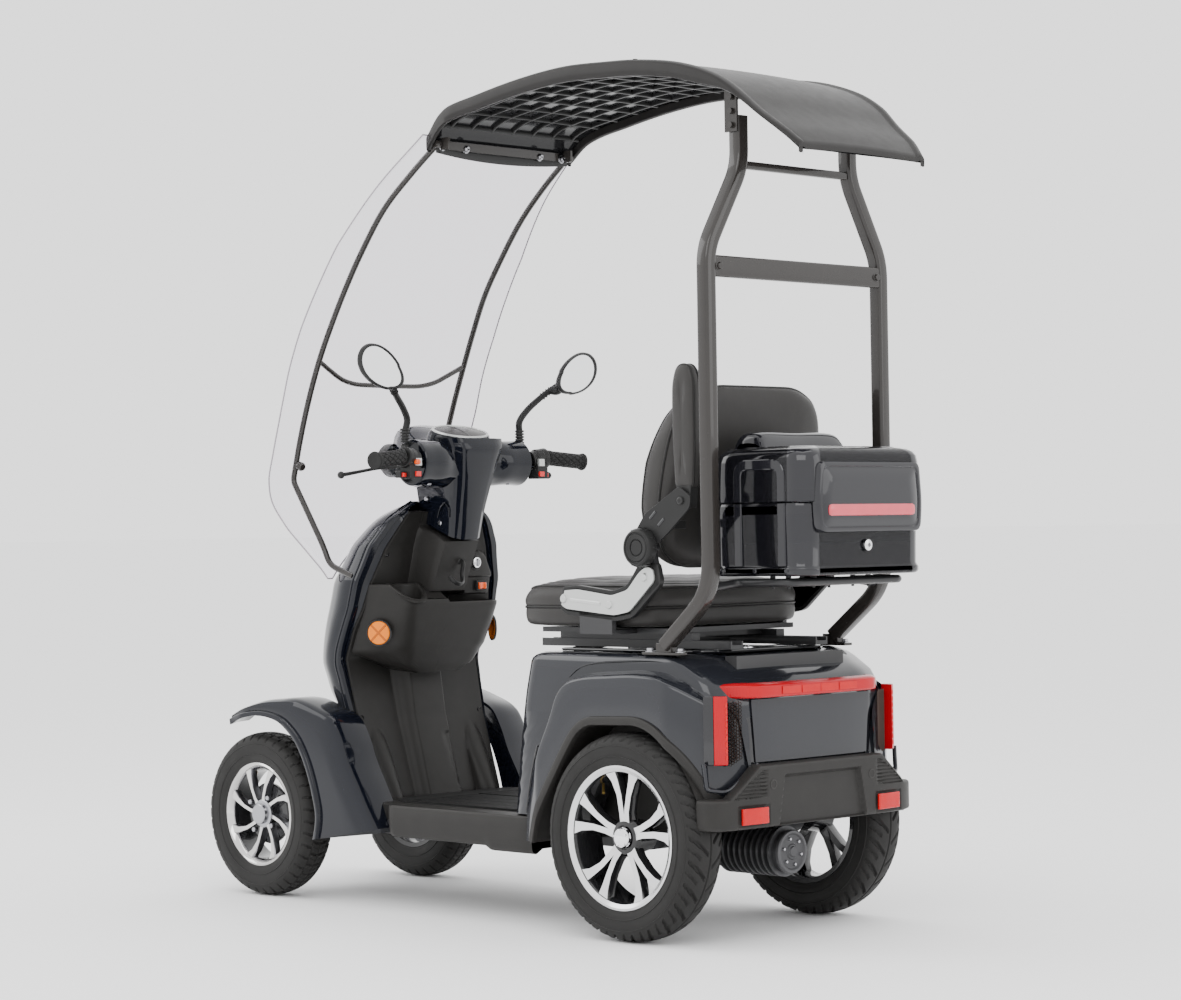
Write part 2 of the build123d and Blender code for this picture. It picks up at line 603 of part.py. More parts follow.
def handlebar_cover():
    profile = [(700, 925), (700, 984), (742, 1008), (815, 1036), (900, 1048), (950, 1044), (964, 1004),
               (940, 930), (880, 897), (750, 897)]
    inner = [(705, 928), (705, 981), (744, 1003), (816, 1031), (900, 1043), (946, 1039), (958, 1003),
             (936, 934), (878, 902), (752, 902)]
    half = [(116, 890), (158, 920), (160, 975), (126, 1015), (90, 1052)]
    inset = [(112, 902), (153, 924), (155, 973), (122, 1010), (86, 1046)]
    shell = side(profile, -170, 170) & front(front_outline(half), 690, 970)
    shell = shell - (side(inner, -170, 170) & front(front_outline(inset), 690, 970))
    holes = both(rod((728, 216, 969), (766, 90, 945), BAR_RADIUS + 4))
    shaft = rod(on_steering(880), on_steering(915), SHAFT + 6)
    return shell - holes - shaft - column_solid(-0.5)


def display():
    tilt = Plane(origin=(779, 0, 1023.4), x_dir=(0.9337, 0, 0.358), z_dir=(-0.358, 0, 0.9337))
    return extrude(tilt * Ellipse(38, 74), 7)


def headlight():
    return front(front_outline([(50, 934), (70, 955), (72, 985), (52, 1002)]), 965, 980)


def switch_pods():
    pod = rod((733, 192, 966), (729, 211, 969), 22) + rod((737, 173, 963), (733, 192, 966), 20)
    lug = block(748, 775, 178, 198, 938, 960) - block(756, 776, 177, 199, 943, 955)
    pin = rod((766, 188, 940), (766, 188, 958), 3)
    boss = rod((768, 172, 968), (768, 172, 999.6), 9) + block(740, 768, 164, 178, 966, 976)
    bore = rod((766, 90, 945), (728, 216, 969), BAR_RADIUS + 0.3)
    button_hole = rod((700, 190, 958), (716, 190, 958), 6.5)
    return both(joined([pod, lug, pin, boss]) - bore - button_hole)


def horn_button():
    return rod((702, 190, 958), (712, 190, 958), 6)


def grip(play):
    inner, outer = Vector(*BAR_POINTS[1]), Vector(*BAR_POINTS[0])
    along = (outer - inner).normalized()
    start, end = inner + along * 2, outer + along * 4
    sleeve = rod(tuple(start), tuple(end), 16.5) + rod(tuple(end - along * 6), tuple(end), 18.5)
    return sleeve - rod(tuple(inner - along * 2), tuple(outer + along * GAP), BAR_RADIUS + play)


def brake_lever():
    blade = pipe([(766, 188, 949), (794, 214, 947), (812, 262, 940), (820, 310, 932)], 5, 20)
    boss = rod((766, 188, 943.6), (766, 188, 954.4), 8)
    tip = Pos(820, 310, 932) * Sphere(8)
    return joined([boss, blade, tip]) - rod((766, 188, 940), (766, 188, 958), 3.3)


def mirror_arm():
    stem = pipe([(768, 172, 1004), (763, 165, 1049), (748, 222, 1108), (722, 262, 1138)], 7, 12)
    collar = rod((768, 172, 1000), (768, 172, 1010), 10)
    face = Plane(origin=(700, 292, 1157), x_dir=(0, 0.88, 0.47), z_dir=(1, 0, 0))
    return joined([stem, collar, extrude(face * Ellipse(66, 40), 18)])


def ignition_key():
    barrel = rod((830.5, -85, 737), (820, -85, 737), 13)
    return barrel + block(816, 821, -86.5, -83.5, 728, 746)


def rocker_switch():
    return block(822, 829.5, -113, -89, 677, 693) + rod((826, -101, 674), (826, -101, 696), 2.5)


def main():
    os.makedirs("parts", exist_ok=True)
    wheels()
    singles = [main_frame, tie_rod, motor_transaxle, shock_absorbers, battery_pack, floor_pan, floor_mat,
               leg_shield, storage_pocket, front_cowl, front_fenders, rear_body, tail_lights, rear_deck,
               arch_trims, rear_bumper, rear_reflectors, side_reflectors, seat_rails, seat_carriage,
               seat_base, seat_cushion, backrest, luggage_rack, luggage_box, luggage_lid,
               canopy_crossbars, roof_panel, windshield, windshield_frame, canopy_fasteners, handlebar,
               column_cover, handlebar_cover, display, headlight, switch_pods, horn_button,
               ignition_key, rocker_switch]
    for make in singles:
        save(make.__name__, make())
    save_pair("knuckle", knuckle())
    save_pair("canopy_post", canopy_post())
    save_pair("brake_lever", brake_lever())
    save_pair("mirror", mirror_arm())
    save("left_grip", grip(0.3))
    save("throttle_grip", mirrored(grip(GAP)))
    save("armrest_left", armrest(raised=True))
    save("armrest_right", armrest(raised=False))


main()
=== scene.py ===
import bpy
import bmesh
import math
from mathutils import Matrix, Vector

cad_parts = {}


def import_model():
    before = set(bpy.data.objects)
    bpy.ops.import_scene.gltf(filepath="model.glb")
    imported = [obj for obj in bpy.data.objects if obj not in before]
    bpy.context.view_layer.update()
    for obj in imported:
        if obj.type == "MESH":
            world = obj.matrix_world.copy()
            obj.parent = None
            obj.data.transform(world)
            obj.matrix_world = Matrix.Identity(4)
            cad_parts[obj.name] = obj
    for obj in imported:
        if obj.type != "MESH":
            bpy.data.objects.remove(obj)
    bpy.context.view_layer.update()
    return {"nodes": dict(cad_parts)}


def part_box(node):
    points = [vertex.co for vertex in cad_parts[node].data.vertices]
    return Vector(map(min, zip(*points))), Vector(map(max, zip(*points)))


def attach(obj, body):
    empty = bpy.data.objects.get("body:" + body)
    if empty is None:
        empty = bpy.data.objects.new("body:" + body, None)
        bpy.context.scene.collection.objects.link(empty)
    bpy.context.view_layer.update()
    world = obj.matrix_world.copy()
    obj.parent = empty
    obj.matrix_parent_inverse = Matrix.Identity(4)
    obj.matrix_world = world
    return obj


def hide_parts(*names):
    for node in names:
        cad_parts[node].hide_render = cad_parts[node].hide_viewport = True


# Looks of the mobility scooter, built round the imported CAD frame.
#
# Shapes are written in millimetres in the design frame: the origin is on the ground under the
# rear axle, +X points forward, +Y to the rider's left and +Z up.  place() turns them into metres
# in the row frame.

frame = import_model()

REAR_LOW, REAR_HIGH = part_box("rim_rear_left")
ORIGIN = Vector(((REAR_LOW.x + REAR_HIGH.x) / 2, 0, 0))
MM = 0.001


def place(point):
    """Millimetres in the design frame to metres in the row frame."""
    return Vector(point) * MM + ORIGIN


# Curves --------------------------------------------------------------------------------------

CURVE_STEPS = 12


def smooth_line(points, count):
    """Points evenly spaced along a centripetal Catmull-Rom curve through the given points."""
    pts = [Vector(p) for p in points]
    if len(pts) == 2:
        return [pts[0].lerp(pts[1], i / (count - 1)) for i in range(count)]
    pts = [pts[0] * 2 - pts[1]] + pts + [pts[-1] * 2 - pts[-2]]
    dense = []
    for a, b, c, d in zip(pts, pts[1:], pts[2:], pts[3:]):
        knots = [0.0]
        for p, q in ((a, b), (b, c), (c, d)):
            knots.append(knots[-1] + max((q - p).length, 1e-6) ** 0.5)
        for i in range(CURVE_STEPS):
            t = knots[1] + (knots[2] - knots[1]) * i / CURVE_STEPS
            dense.append(barry_goldman((a, b, c, d), knots, t))
    dense.append(pts[-2])
    return spaced(dense, count)


def barry_goldman(points, knots, t):
    """The point at t on the curve through four points, by Barry and Goldman's pyramid."""
    level = list(points)
    for depth in (1, 2, 3):
        spans = [(1, 2)] if depth == 3 else [(i, i + depth) for i in range(4 - depth)]
        level = [level[i].lerp(level[i + 1], (t - knots[low]) / (knots[high] - knots[low])) for i,
                 (low, high) in enumerate(spans)]
    return level[0]


def spaced(points, count):
    """The same line with its points evenly spaced."""
    lengths = [0.0]
    for p, q in zip(points, points[1:]):
        lengths.append(lengths[-1] + (q - p).length)
    out, k = [], 0
    for i in range(count):
        want = lengths[-1] * i / (count - 1)
        while k < len(points) - 2 and lengths[k + 1] < want:
            k += 1
        gap = lengths[k + 1] - lengths[k]
        out.append(points[k].lerp(points[k + 1], (want - lengths[k]) / gap if gap else 0))
    return out


def rounded_line(points, radius, steps=8):
    """A polyline whose inner corners are rounded."""
    pts = [Vector(p) for p in points]
    radii = radius if isinstance(radius, (list, tuple)) else [radius] * len(pts)
    out = [pts[0]]
    for i in range(1, len(pts) - 1):
        before, here, after = pts[i - 1], pts[i], pts[i + 1]
        reach = min(radii[i], (here - before).length * 0.48, (after - here).length * 0.48)
        start = here + (before - here).normalized() * reach
        end = here + (after - here).normalized() * reach
        for k in range(steps + 1):
            t = k / steps
            out.append(start.lerp(here, t).lerp(here.lerp(end, t), t))
    out.append(pts[-1])
    return out


def ellipse(rx, ry, sides=16):
    """A section of (across, up) points, for sweep()."""
    return [(rx * math.cos(2 * math.pi * i / sides), ry * math.sin(2 * math.pi * i / sides))
            for i in range(sides)]


def rounded_rectangle(width, height, radius, steps=3):
    """A section with round corners, for sweep()."""
    out = []
    for k, (sx, sy) in enumerate(((1, 1), (-1, 1), (-1, -1), (1, -1))):
        for i in range(steps + 1):
            angle = math.pi / 2 * (k + i / steps)
            out.append((sx * (width / 2 - radius) + radius * math.cos(angle),
                        sy * (height / 2 - radius) + radius * math.sin(angle)))
    return out


def closed_round(corners, radius, steps):
    """A closed outline of 3-D corners, each of them rounded."""
    return rounded_line(corners + corners[:2], radius, steps)[steps + 1:-(steps + 1)]


# Pieces --------------------------------------------------------------------------------------

MERGE, SLIVER = 0.00002, 0.000005


class Piece:
    """A mesh under construction, in millimetres, with a material for each face."""

    def __init__(self, name, material):
        self.name = name
        self.verts, self.faces, self.slots = [], [], []
        self.materials = [material]
        self.current = 0

    def paint(self, material):
        """Gives the faces added from now on another material."""
        if material not in self.materials:
            self.materials.append(material)
        self.current = self.materials.index(material)
        return self

    def add(self, verts, faces):
        base = len(self.verts)
        self.verts += [Vector(v) for v in verts]
        self.faces += [[base + i for i in f] for f in faces]
        self.slots += [self.current] * len(faces)
        return self

    def grid(self, rows, closed=False, ends=False):
        """A skin over rows of points; closed rows are rings, and ends closes the first and last."""
        n = len(rows[0])
        verts = [p for row in rows for p in row]
        faces = []
        for r in range(len(rows) - 1):
            for c in range(n if closed else n - 1):
                d = (c + 1) % n
                faces.append([r * n + c, r * n + d, (r + 1) * n + d, (r + 1) * n + c])
        if ends:
            faces += [list(range(n))[::-1], [(len(rows) - 1) * n + i for i in range(n)]]
        return self.add(verts, faces)

    def loft(self, rows, across, along, closed=False, ends=False):
        """A smooth skin through rows of points: across points in each row, along rows in all."""
        lines = [smooth_line(list(row) + ([row[0]] if closed else []), across + (1 if closed else 0))
                 for row in rows]
        if closed:
            lines = [line[:-1] for line in lines]
        columns = [smooth_line(column, along) for column in zip(*lines)]
        return self.grid([list(row) for row in zip(*columns)], closed, ends)

    def sweep(self, path, section, up=(0, 0, 1), ends=True, scale=None):
        """A section (across, upwards) carried along a path."""
        path = [Vector(p) for p in path]
        rows = []
        side = None
        for i, p in enumerate(path):
            along = (path[min(i + 1, len(path) - 1)] - path[max(i - 1, 0)]).normalized()
            if side is None:
                side = along.cross(Vector(up)).normalized()
            side = (side - along * side.dot(along)).normalized()
            over = side.cross(along)
            k = scale(i / (len(path) - 1)) if scale else 1
            rows.append([p + side * (a * k) + over * (b * k) for a, b in section])
        return self.grid(rows, True, ends)

    def tube(self, path, radius, sides=12, scale=None):
        """A round bar along a path."""
        return self.sweep(path, ellipse(radius, radius, sides), up=(0.13, 0.2, 0.97), scale=scale)

    def lathe(self, profile, centre, axis=(0, 1, 0), sides=48, closed=True):
        """A profile of (radius, distance along the axis) turned about the axis."""
        axis = Vector(axis).normalized()
        out = axis.orthogonal().normalized()
        rows = []
        for i in range(sides):
            spoke = Matrix.Rotation(2 * math.pi * i / sides, 3, axis) @ out
            rows.append([Vector(centre) + spoke * r + axis * a for r, a in profile])
        n = len(profile)
        faces = []
        for i in range(sides):
            j = (i + 1) % sides
            for c in range(n if closed else n - 1):
                d = (c + 1) % n
                faces.append([i * n + c, i * n + d, j * n + d, j * n + c])
        return self.add([p for row in rows for p in row], faces)

    def box(self, low, high, turn=None):
        """A box between two corners, turned about its middle."""
        (x0, y0, z0), (x1, y1, z1) = low, high
        verts = [Vector((x, y, z)) for x in (x0, x1) for y in (y0, y1) for z in (z0, z1)]
        if turn:
            middle = Vector(((x0 + x1) / 2, (y0 + y1) / 2, (z0 + z1) / 2))
            verts = [turn @ (v - middle) + middle for v in verts]
        return self.add(verts, [(0, 1, 3, 2), (4, 6, 7, 5), (0, 4, 5, 1), (2, 3, 7, 6), (0, 2, 6, 4),
                                (1, 5, 7, 3)])

    def plate(self, outline, low, high):
        """A flat plate from a side-view outline of (x, z) corners, between two values of y."""
        n = len(outline)
        verts = [(x, y, z) for y in (low, high) for x, z in outline]
        faces = [list(range(n)), [n + i for i in range(n)][::-1]]
        faces += [[n + i, n + (i + 1) % n, (i + 1) % n, i] for i in range(n)]
        return self.add(verts, faces)

    def fan(self, outline):
        """A flat face over a closed outline."""
        return self.add(outline, [list(range(len(outline)))])

    def ball(self, centre, radius, sides=16):
        profile = [(max(radius * math.sin(math.pi * i / 10), 0.02), -radius * math.cos(math.pi * i / 10))
                   for i in range(11)]
        return self.lathe(profile, centre, (0, 0, 1), sides, closed=False)

    def mirrored(self):
        """Adds the mirror image in the middle plane of all there is so far."""
        base = len(self.verts)
        self.verts += [Vector((v.x, -v.y, v.z)) for v in self.verts]
        self.faces += [[base + i for i in reversed(f)] for f in self.faces]
        self.slots += list(self.slots)
        return self

    def make(self, body, nodes=(), thickness=0, bevel=0, sharp=40, outward=True):
        """The finished object, riding on a body and in place of its CAD nodes."""
        mesh = bpy.data.meshes.new(self.name)
        mesh.from_pydata([place(v) for v in self.verts], [], self.faces)
        for material in self.materials:
            mesh.materials.append(material)
        mesh.polygons.foreach_set("material_index", self.slots)
        work = bmesh.new()
        work.from_mesh(mesh)
        bmesh.ops.remove_doubles(work, verts=work.verts, dist=MERGE)
        bmesh.ops.dissolve_degenerate(work, edges=work.edges, dist=SLIVER)
        if outward:
            bmesh.ops.recalc_face_normals(work, faces=work.faces)
        work.to_mesh(mesh)
        work.free()
        obj = bpy.data.objects.new(self.name, mesh)
        bpy.context.collection.objects.link(obj)
        mesh.shade_smooth()
        mesh.set_sharp_from_angle(angle=math.radians(sharp))
        if thickness:
            solid = obj.modifiers.new("thickness", "SOLIDIFY")
            solid.thickness = thickness * MM
            solid.offset = -1
            solid.use_even_offset = True
        if bevel:
            add_bevel(obj, bevel)
        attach(obj, body)
        if nodes:
            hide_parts(*nodes)
        return obj


def add_bevel(obj, width, segments=3, angle=35):
    bevel = obj.modifiers.new("bevel", "BEVEL")
    bevel.width = width * MM
    bevel.segments = segments
    bevel.limit_method = "ANGLE"
    bevel.angle_limit = math.radians(angle)
    bevel.harden_normals = False
    return bevel


def add_subdivision(obj, levels):
    surface = obj.modifiers.new("surface", "SUBSURF")
    surface.levels = levels
    surface.render_levels = levels


# Materials -----------------------------------------------------------------------------------

COAT_ROUGHNESS = 0.04
PLASTIC_SPECULAR, PLAIN_SPECULAR = 0.22, 0.5
FLAKE_SCALE, FLAKE_FROM = 2600, 0.75
WEAR_FROM, WEAR_TO = 0.52, 0.62
BUMP_STRENGTH = 0.6


def material(name, colour, rough, metallic=0.0, coat=0.0, vary=0.06, rough_vary=0.06, scale=25.0, bump=(),
             sheen=0.0, transmission=0.0, ior=1.45, flake=0.0, edge=0.0):
    """A procedural material: its colour and roughness drift, and each bump is (kind, scale, depth)."""
    made = bpy.data.materials.new(name)
    made.use_nodes = True
    nodes, links = made.node_tree.nodes, made.node_tree.links
    shader = nodes["Principled BSDF"]
    shader.inputs["Metallic"].default_value = metallic
    shader.inputs["Coat Weight"].default_value = coat
    shader.inputs["Coat Roughness"].default_value = COAT_ROUGHNESS
    shader.inputs["Sheen Weight"].default_value = sheen
    shader.inputs["Transmission Weight"].default_value = transmission
    shader.inputs["IOR"].default_value = ior
    place_in = nodes.new("ShaderNodeTexCoord").outputs["Object"]

    def texture(kind, size, detail=4.0):
        node = nodes.new({"noise": "ShaderNodeTexNoise", "cells": "ShaderNodeTexVoronoi",
                          "waves": "ShaderNodeTexWave"}[kind])
        node.inputs["Scale"].default_value = size
        if kind == "noise":
            node.inputs["Detail"].default_value = detail
        links.new(place_in, node.inputs["Vector"])
        return node

    drift = texture("noise", scale)
    mix = nodes.new("ShaderNodeMix")
    mix.data_type = "RGBA"
    dark = [c * (1 - vary) for c in colour]
    light = [min(c * (1 + vary) + vary * 0.004, 1) for c in colour]
    mix.inputs["A"].default_value = (*dark, 1)
    mix.inputs["B"].default_value = (*light, 1)
    links.new(drift.outputs["Fac"], mix.inputs["Factor"])
    out = mix.outputs["Result"]
    if flake:
        sparkle = texture("cells", FLAKE_SCALE)
        glint = nodes.new("ShaderNodeMix")
        glint.data_type = "RGBA"
        glint.inputs["B"].default_value = (*[min(c * 3 + 0.05, 1) for c in colour], 1)
        steps = nodes.new("ShaderNodeMapRange")
        steps.inputs["From Min"].default_value = FLAKE_FROM
        steps.inputs["To Max"].default_value = flake
        links.new(sparkle.outputs["Color"], steps.inputs["Value"])
        links.new(steps.outputs["Result"], glint.inputs["Factor"])
        links.new(out, glint.inputs["A"])
        out = glint.outputs["Result"]
    if edge:
        pointy = nodes.new("ShaderNodeNewGeometry").outputs["Pointiness"]
        worn = nodes.new("ShaderNodeMapRange")
        worn.inputs["From Min"].default_value = WEAR_FROM
        worn.inputs["From Max"].default_value = WEAR_TO
        worn.inputs["To Max"].default_value = edge
        links.new(pointy, worn.inputs["Value"])
        wear = nodes.new("ShaderNodeMix")
        wear.data_type = "RGBA"
        wear.inputs["B"].default_value = (*[min(c * 2.2 + 0.03, 1) for c in colour], 1)
        links.new(worn.outputs["Result"], wear.inputs["Factor"])
        links.new(out, wear.inputs["A"])
        out = wear.outputs["Result"]
    links.new(out, shader.inputs["Base Color"])

    spread = nodes.new("ShaderNodeMapRange")
    spread.inputs["To Min"].default_value = max(rough - rough_vary, 0.01)
    spread.inputs["To Max"].default_value = min(rough + rough_vary, 1)
    smudge = texture("noise", scale * 1.7 + 3)
    links.new(smudge.outputs["Fac"], spread.inputs["Value"])
    links.new(spread.outputs["Result"], shader.inputs["Roughness"])
    plain = metallic or transmission
    shader.inputs["Specular IOR Level"].default_value = PLAIN_SPECULAR if plain else PLASTIC_SPECULAR

    normal = None
    for kind, size, depth in bump:
        node = nodes.new("ShaderNodeBump")
        node.inputs["Strength"].default_value = BUMP_STRENGTH
        node.inputs["Distance"].default_value = depth * MM
        source = texture(kind, size)
        links.new(source.outputs["Distance" if kind == "cells" else "Fac"], node.inputs["Height"])
        if normal:
            links.new(normal, node.inputs["Normal"])
        normal = node.outputs["Normal"]
    if normal:
        links.new(normal, shader.inputs["Normal"])
    return made


GLOSS_FRONT = material("gloss_front", (0.004, 0.005, 0.009), 0.10, coat=0.25, flake=0.05, scale=6)
GLOSS_BODY = material("gloss_body", (0.013, 0.014, 0.018), 0.14, coat=0.5, flake=0.12, scale=6)
GLOSS_BLACK = material("gloss_black", (0.008, 0.008, 0.010), 0.10, coat=0.8, scale=6)
GLOSS_BOX = material("gloss_box", (0.010, 0.010, 0.013), 0.10, coat=0.6, flake=0.08, scale=6)
MATTE = material("matte_plastic", (0.020, 0.019, 0.018), 0.46, vary=0.14,
                 bump=[("noise", 1400, 0.10), ("cells", 900, 0.06)], edge=0.35)
SATIN = material("satin_plastic", (0.016, 0.016, 0.016), 0.34, vary=0.12, bump=[("noise", 1100, 0.05)],
                 edge=0.3)
ROOF = material("roof_plastic", (0.017, 0.016, 0.0155), 0.38, vary=0.16,
                bump=[("cells", 620, 0.16), ("noise", 1500, 0.05)])
UNDERSIDE = material("roof_underside", (0.010, 0.010, 0.011), 0.12, vary=0.1, bump=[("noise", 60, 0.3)])
MAT_RUBBER = material("mat_rubber", (0.014, 0.014, 0.014), 0.55, vary=0.2, bump=[("noise", 900, 0.12)])
TYRE = material("tyre_rubber", (0.016, 0.0155, 0.015), 0.58, vary=0.25, rough_vary=0.10, scale=14,
                bump=[("noise", 700, 0.14), ("noise", 60, 0.25)], edge=0.25)
GRIP = material("grip_rubber", (0.013, 0.013, 0.013), 0.5, vary=0.2, bump=[("noise", 1500, 0.08)])
LEATHER = material("leatherette", (0.028, 0.0265, 0.0255), 0.42, vary=0.14, rough_vary=0.08, scale=30,
                   bump=[("cells", 620, 0.16), ("cells", 1500, 0.05), ("noise", 45, 0.5)], sheen=0.05)
PIPING = material("piping", (0.014, 0.0135, 0.013), 0.38, vary=0.15, bump=[("cells", 1100, 0.08)])
POST = material("post_paint", (0.020, 0.0175, 0.0160), 0.25, coat=0.5, vary=0.12,
                bump=[("noise", 500, 0.03)], edge=0.25)
FRAME_PAINT = material("frame_paint", (0.016, 0.016, 0.017), 0.38, coat=0.2, vary=0.12,
                       bump=[("noise", 600, 0.06)], edge=0.4)
ALLOY_DARK = material("cast_alloy", (0.060, 0.060, 0.063), 0.5, metallic=0.7, vary=0.2,
                      bump=[("noise", 420, 0.2)], edge=0.5)
WHEEL_BLACK = material("wheel_black", (0.012, 0.012, 0.013), 0.22, coat=0.6, vary=0.1)
MACHINED = material("machined_face", (0.72, 0.72, 0.73), 0.20, metallic=1.0, vary=0.05,
                    bump=[("noise", 900, 0.03)])
CHROME = material("chrome", (0.86, 0.86, 0.88), 0.06, metallic=1.0, vary=0.03, rough_vary=0.03)
WHEEL_CHROME = material("wheel_chrome", (0.60, 0.59, 0.58), 0.10, metallic=1.0, vary=0.05, rough_vary=0.03)
STEEL = material("steel", (0.38, 0.38, 0.40), 0.30, metallic=1.0, vary=0.12, bump=[("noise", 800, 0.05)])
BRASS = material("brass", (0.62, 0.42, 0.12), 0.32, metallic=1.0, vary=0.15)
SILVER_PAINT = material("silver_paint", (0.52, 0.53, 0.52), 0.30, metallic=0.55, coat=0.4, vary=0.05,
                        flake=0.15, bump=[("noise", 900, 0.03)])
RED_LENS = material("red_lens", (0.42, 0.001, 0.008), 0.14, coat=0.15, vary=0.10, scale=12,
                    bump=[("waves", 70, 0.4)])
RED_STRIP = material("red_strip", (0.62, 0.06, 0.085), 0.22, coat=1.0, vary=0.12,
                     bump=[("cells", 420, 0.35)])
RED_REFLECTOR = material("red_reflector", (0.50, 0.003, 0.006), 0.16, coat=0.15, vary=0.2,
                         bump=[("cells", 380, 0.5)])
AMBER = material("amber_reflector", (0.80, 0.20, 0.004), 0.18, coat=0.15, vary=0.12,
                 bump=[("cells", 420, 0.5)])
AMBER_DARK = material("amber_cross", (0.45, 0.10, 0.004), 0.2, coat=0.15, vary=0.1,
                      bump=[("cells", 300, 0.4)])
ORANGE = material("orange_switch", (0.85, 0.10, 0.012), 0.22, coat=0.8, vary=0.08)
RED_BUTTON = material("red_button", (0.72, 0.015, 0.012), 0.22, coat=0.8, vary=0.08)
BRONZE_MESH = material("bronze_mesh", (0.090, 0.062, 0.052), 0.30, metallic=0.75, vary=0.2)
DISPLAY_GLASS = material("display_glass", (0.016, 0.014, 0.013), 0.24, vary=0.1)
LAMP_LENS = material("lamp_lens", (0.55, 0.57, 0.60), 0.08, metallic=0.6, coat=1.0, vary=0.1,
                     bump=[("waves", 60, 0.4)])
MIRROR_GLASS = material("mirror_glass", (0.93, 0.94, 0.95), 0.02, metallic=1.0, vary=0.01, rough_vary=0.01)
BATTERY = material("battery_case", (0.030, 0.030, 0.033), 0.5, vary=0.12, bump=[("noise", 700, 0.1)])
SHEET_EDGE = material("sheet_edge", (0.36, 0.33, 0.36), 0.25, vary=0.05)
CLEAR = material("clear_sheet", (0.935, 0.915, 0.955), 0.02, transmission=1.0, ior=1.03, vary=0.004,
                 rough_vary=0.01)


# Camera, floor and light -----------------------------------------------------------------------


CAMERA = {"lens": 91.03, "yaw": 45.11, "pitch": 0.54, "roll": -0.91, "back": 6043.25, "aside": -265.74,
          "height": 809.64}
FLOOR_REACH = 400
WORLD_STRENGTH = 1.9
LAMP_TARGET = Vector((0, 0, 0.8))
# Each lamp's name, place and size in metres, and power in watts.
LAMPS = [("key", (-2.6, 3.6, 3.6), (3.2, 2.2), 70), ("fill", (-4.2, -1.6, 2.2), (2.4, 2.4), 30),
         ("rim", (3.4, 2.6, 3.0), (2.4, 2.4), 50), ("top", (0, 0, 4.6), (3.5, 2.5), 45)]


def add_camera(scene):
    """A camera behind the scooter's left side, its yaw measured from straight ahead to the right."""
    data = bpy.data.cameras.new("camera")
    data.sensor_width = 36
    data.lens = CAMERA["lens"]
    camera = bpy.data.objects.new("camera", data)
    scene.collection.objects.link(camera)
    yaw, pitch, roll = (math.radians(CAMERA[turn]) for turn in ("yaw", "pitch", "roll"))
    ahead = Vector((math.cos(yaw) * math.cos(pitch), -math.sin(yaw) * math.cos(pitch), math.sin(pitch)))
    right = Vector((-math.sin(yaw), -math.cos(yaw), 0))
    up = right.cross(ahead)
    turned_right = right * math.cos(roll) + up * math.sin(roll)
    turned_up = up * math.cos(roll) - right * math.sin(roll)
    position = (-CAMERA["back"] * Vector((math.cos(yaw), -math.sin(yaw), 0)) + CAMERA["aside"] * right
                + Vector((0, 0, CAMERA["height"])))
    basis = Matrix((turned_right, turned_up, -ahead)).transposed().to_4x4()
    camera.matrix_world = Matrix.Translation(place(position)) @ basis
    scene.camera = camera


def add_floor(scene):
    mesh = bpy.data.meshes.new("floor")
    far = FLOOR_REACH
    mesh.from_pydata([(-far, -far, 0), (far, -far, 0), (far, far, 0), (-far, far, 0)], [], [(0, 1, 2, 3)])
    floor = bpy.data.objects.new("floor", mesh)
    scene.collection.objects.link(floor)
    mesh.materials.append(material("studio_floor", (0.96, 0.96, 0.962), 0.9, vary=0.01))


def studio():
    scene = bpy.context.scene
    add_camera(scene)
    add_floor(scene)
    world = bpy.data.worlds.new("studio")
    scene.world = world
    world.use_nodes = True
    sky = world.node_tree.nodes["Background"]
    sky.inputs["Color"].default_value = (1.0, 1.0, 1.0, 1)
    sky.inputs["Strength"].default_value = WORLD_STRENGTH
    for name, where, (width, height), power in LAMPS:
        lamp = bpy.data.lights.new(name, "AREA")
        lamp.shape = "RECTANGLE"
        lamp.size, lamp.size_y, lamp.energy = width, height, power
        obj = bpy.data.objects.new(name, lamp)
        scene.collection.objects.link(obj)
        obj.location = where
        obj.rotation_euler = (LAMP_TARGET - Vector(where)).to_track_quat("-Z", "Y").to_euler()


# Wheels --------------------------------------------------------------------------------------

REAR = {"x": 0, "z": 205, "radius": 205, "width": 96, "bead": 138, "y": 270}
FRONT = {"x": 1177, "z": 182, "radius": 182, "width": 84, "bead": 112, "y": 228}
REAR_PITCHES, FRONT_PITCHES = 26, 40
TREAD_REACH = 17
REAR_SPOKES, FRONT_SPOKES = 5, 8


def tyre_profile(wheel, steps):
    """Points (radius, y) across a tyre from its inner bead, over the tread, to the outer bead."""
    w, bead, radius = wheel["width"] / 2, wheel["bead"], wheel["radius"]
    half = [(bead - 1, 0.74), (bead + 3, 0.86), (bead + 9, 0.90), (bead + 12, 0.93), (bead + 24, 0.985),
            (bead + (radius - bead) * 0.52, 1.0), (radius - 20, 0.965), (radius - 11, 0.86),
            (radius - 4, 0.62), (radius - 1, 0.34), (radius, 0)]
    line = [Vector((r, -a * w, 0)) for r, a in half] + [Vector((r, a * w, 0)) for r, a in half[-2::-1]]
    return smooth_line(line, steps)


def rear_groove(angle, across):
    """Depth of the rear tyre's swept V grooves; across runs from -1 to 1."""
    turn = angle / (2 * math.pi) * REAR_PITCHES
    side = abs(across)
    shift = 0.5 if across > 0 else 0
    if side < 0.035:
        return 3.5
    if 0.5 < side < 0.97 and (turn + side * 0.9 + 0.5 + shift) % 1 < 0.13:
        return 3.2
    if 0.14 < side < 0.93 and (turn + side * 0.9 + shift) % 1 < 0.17:
        return 4.2
    return 0


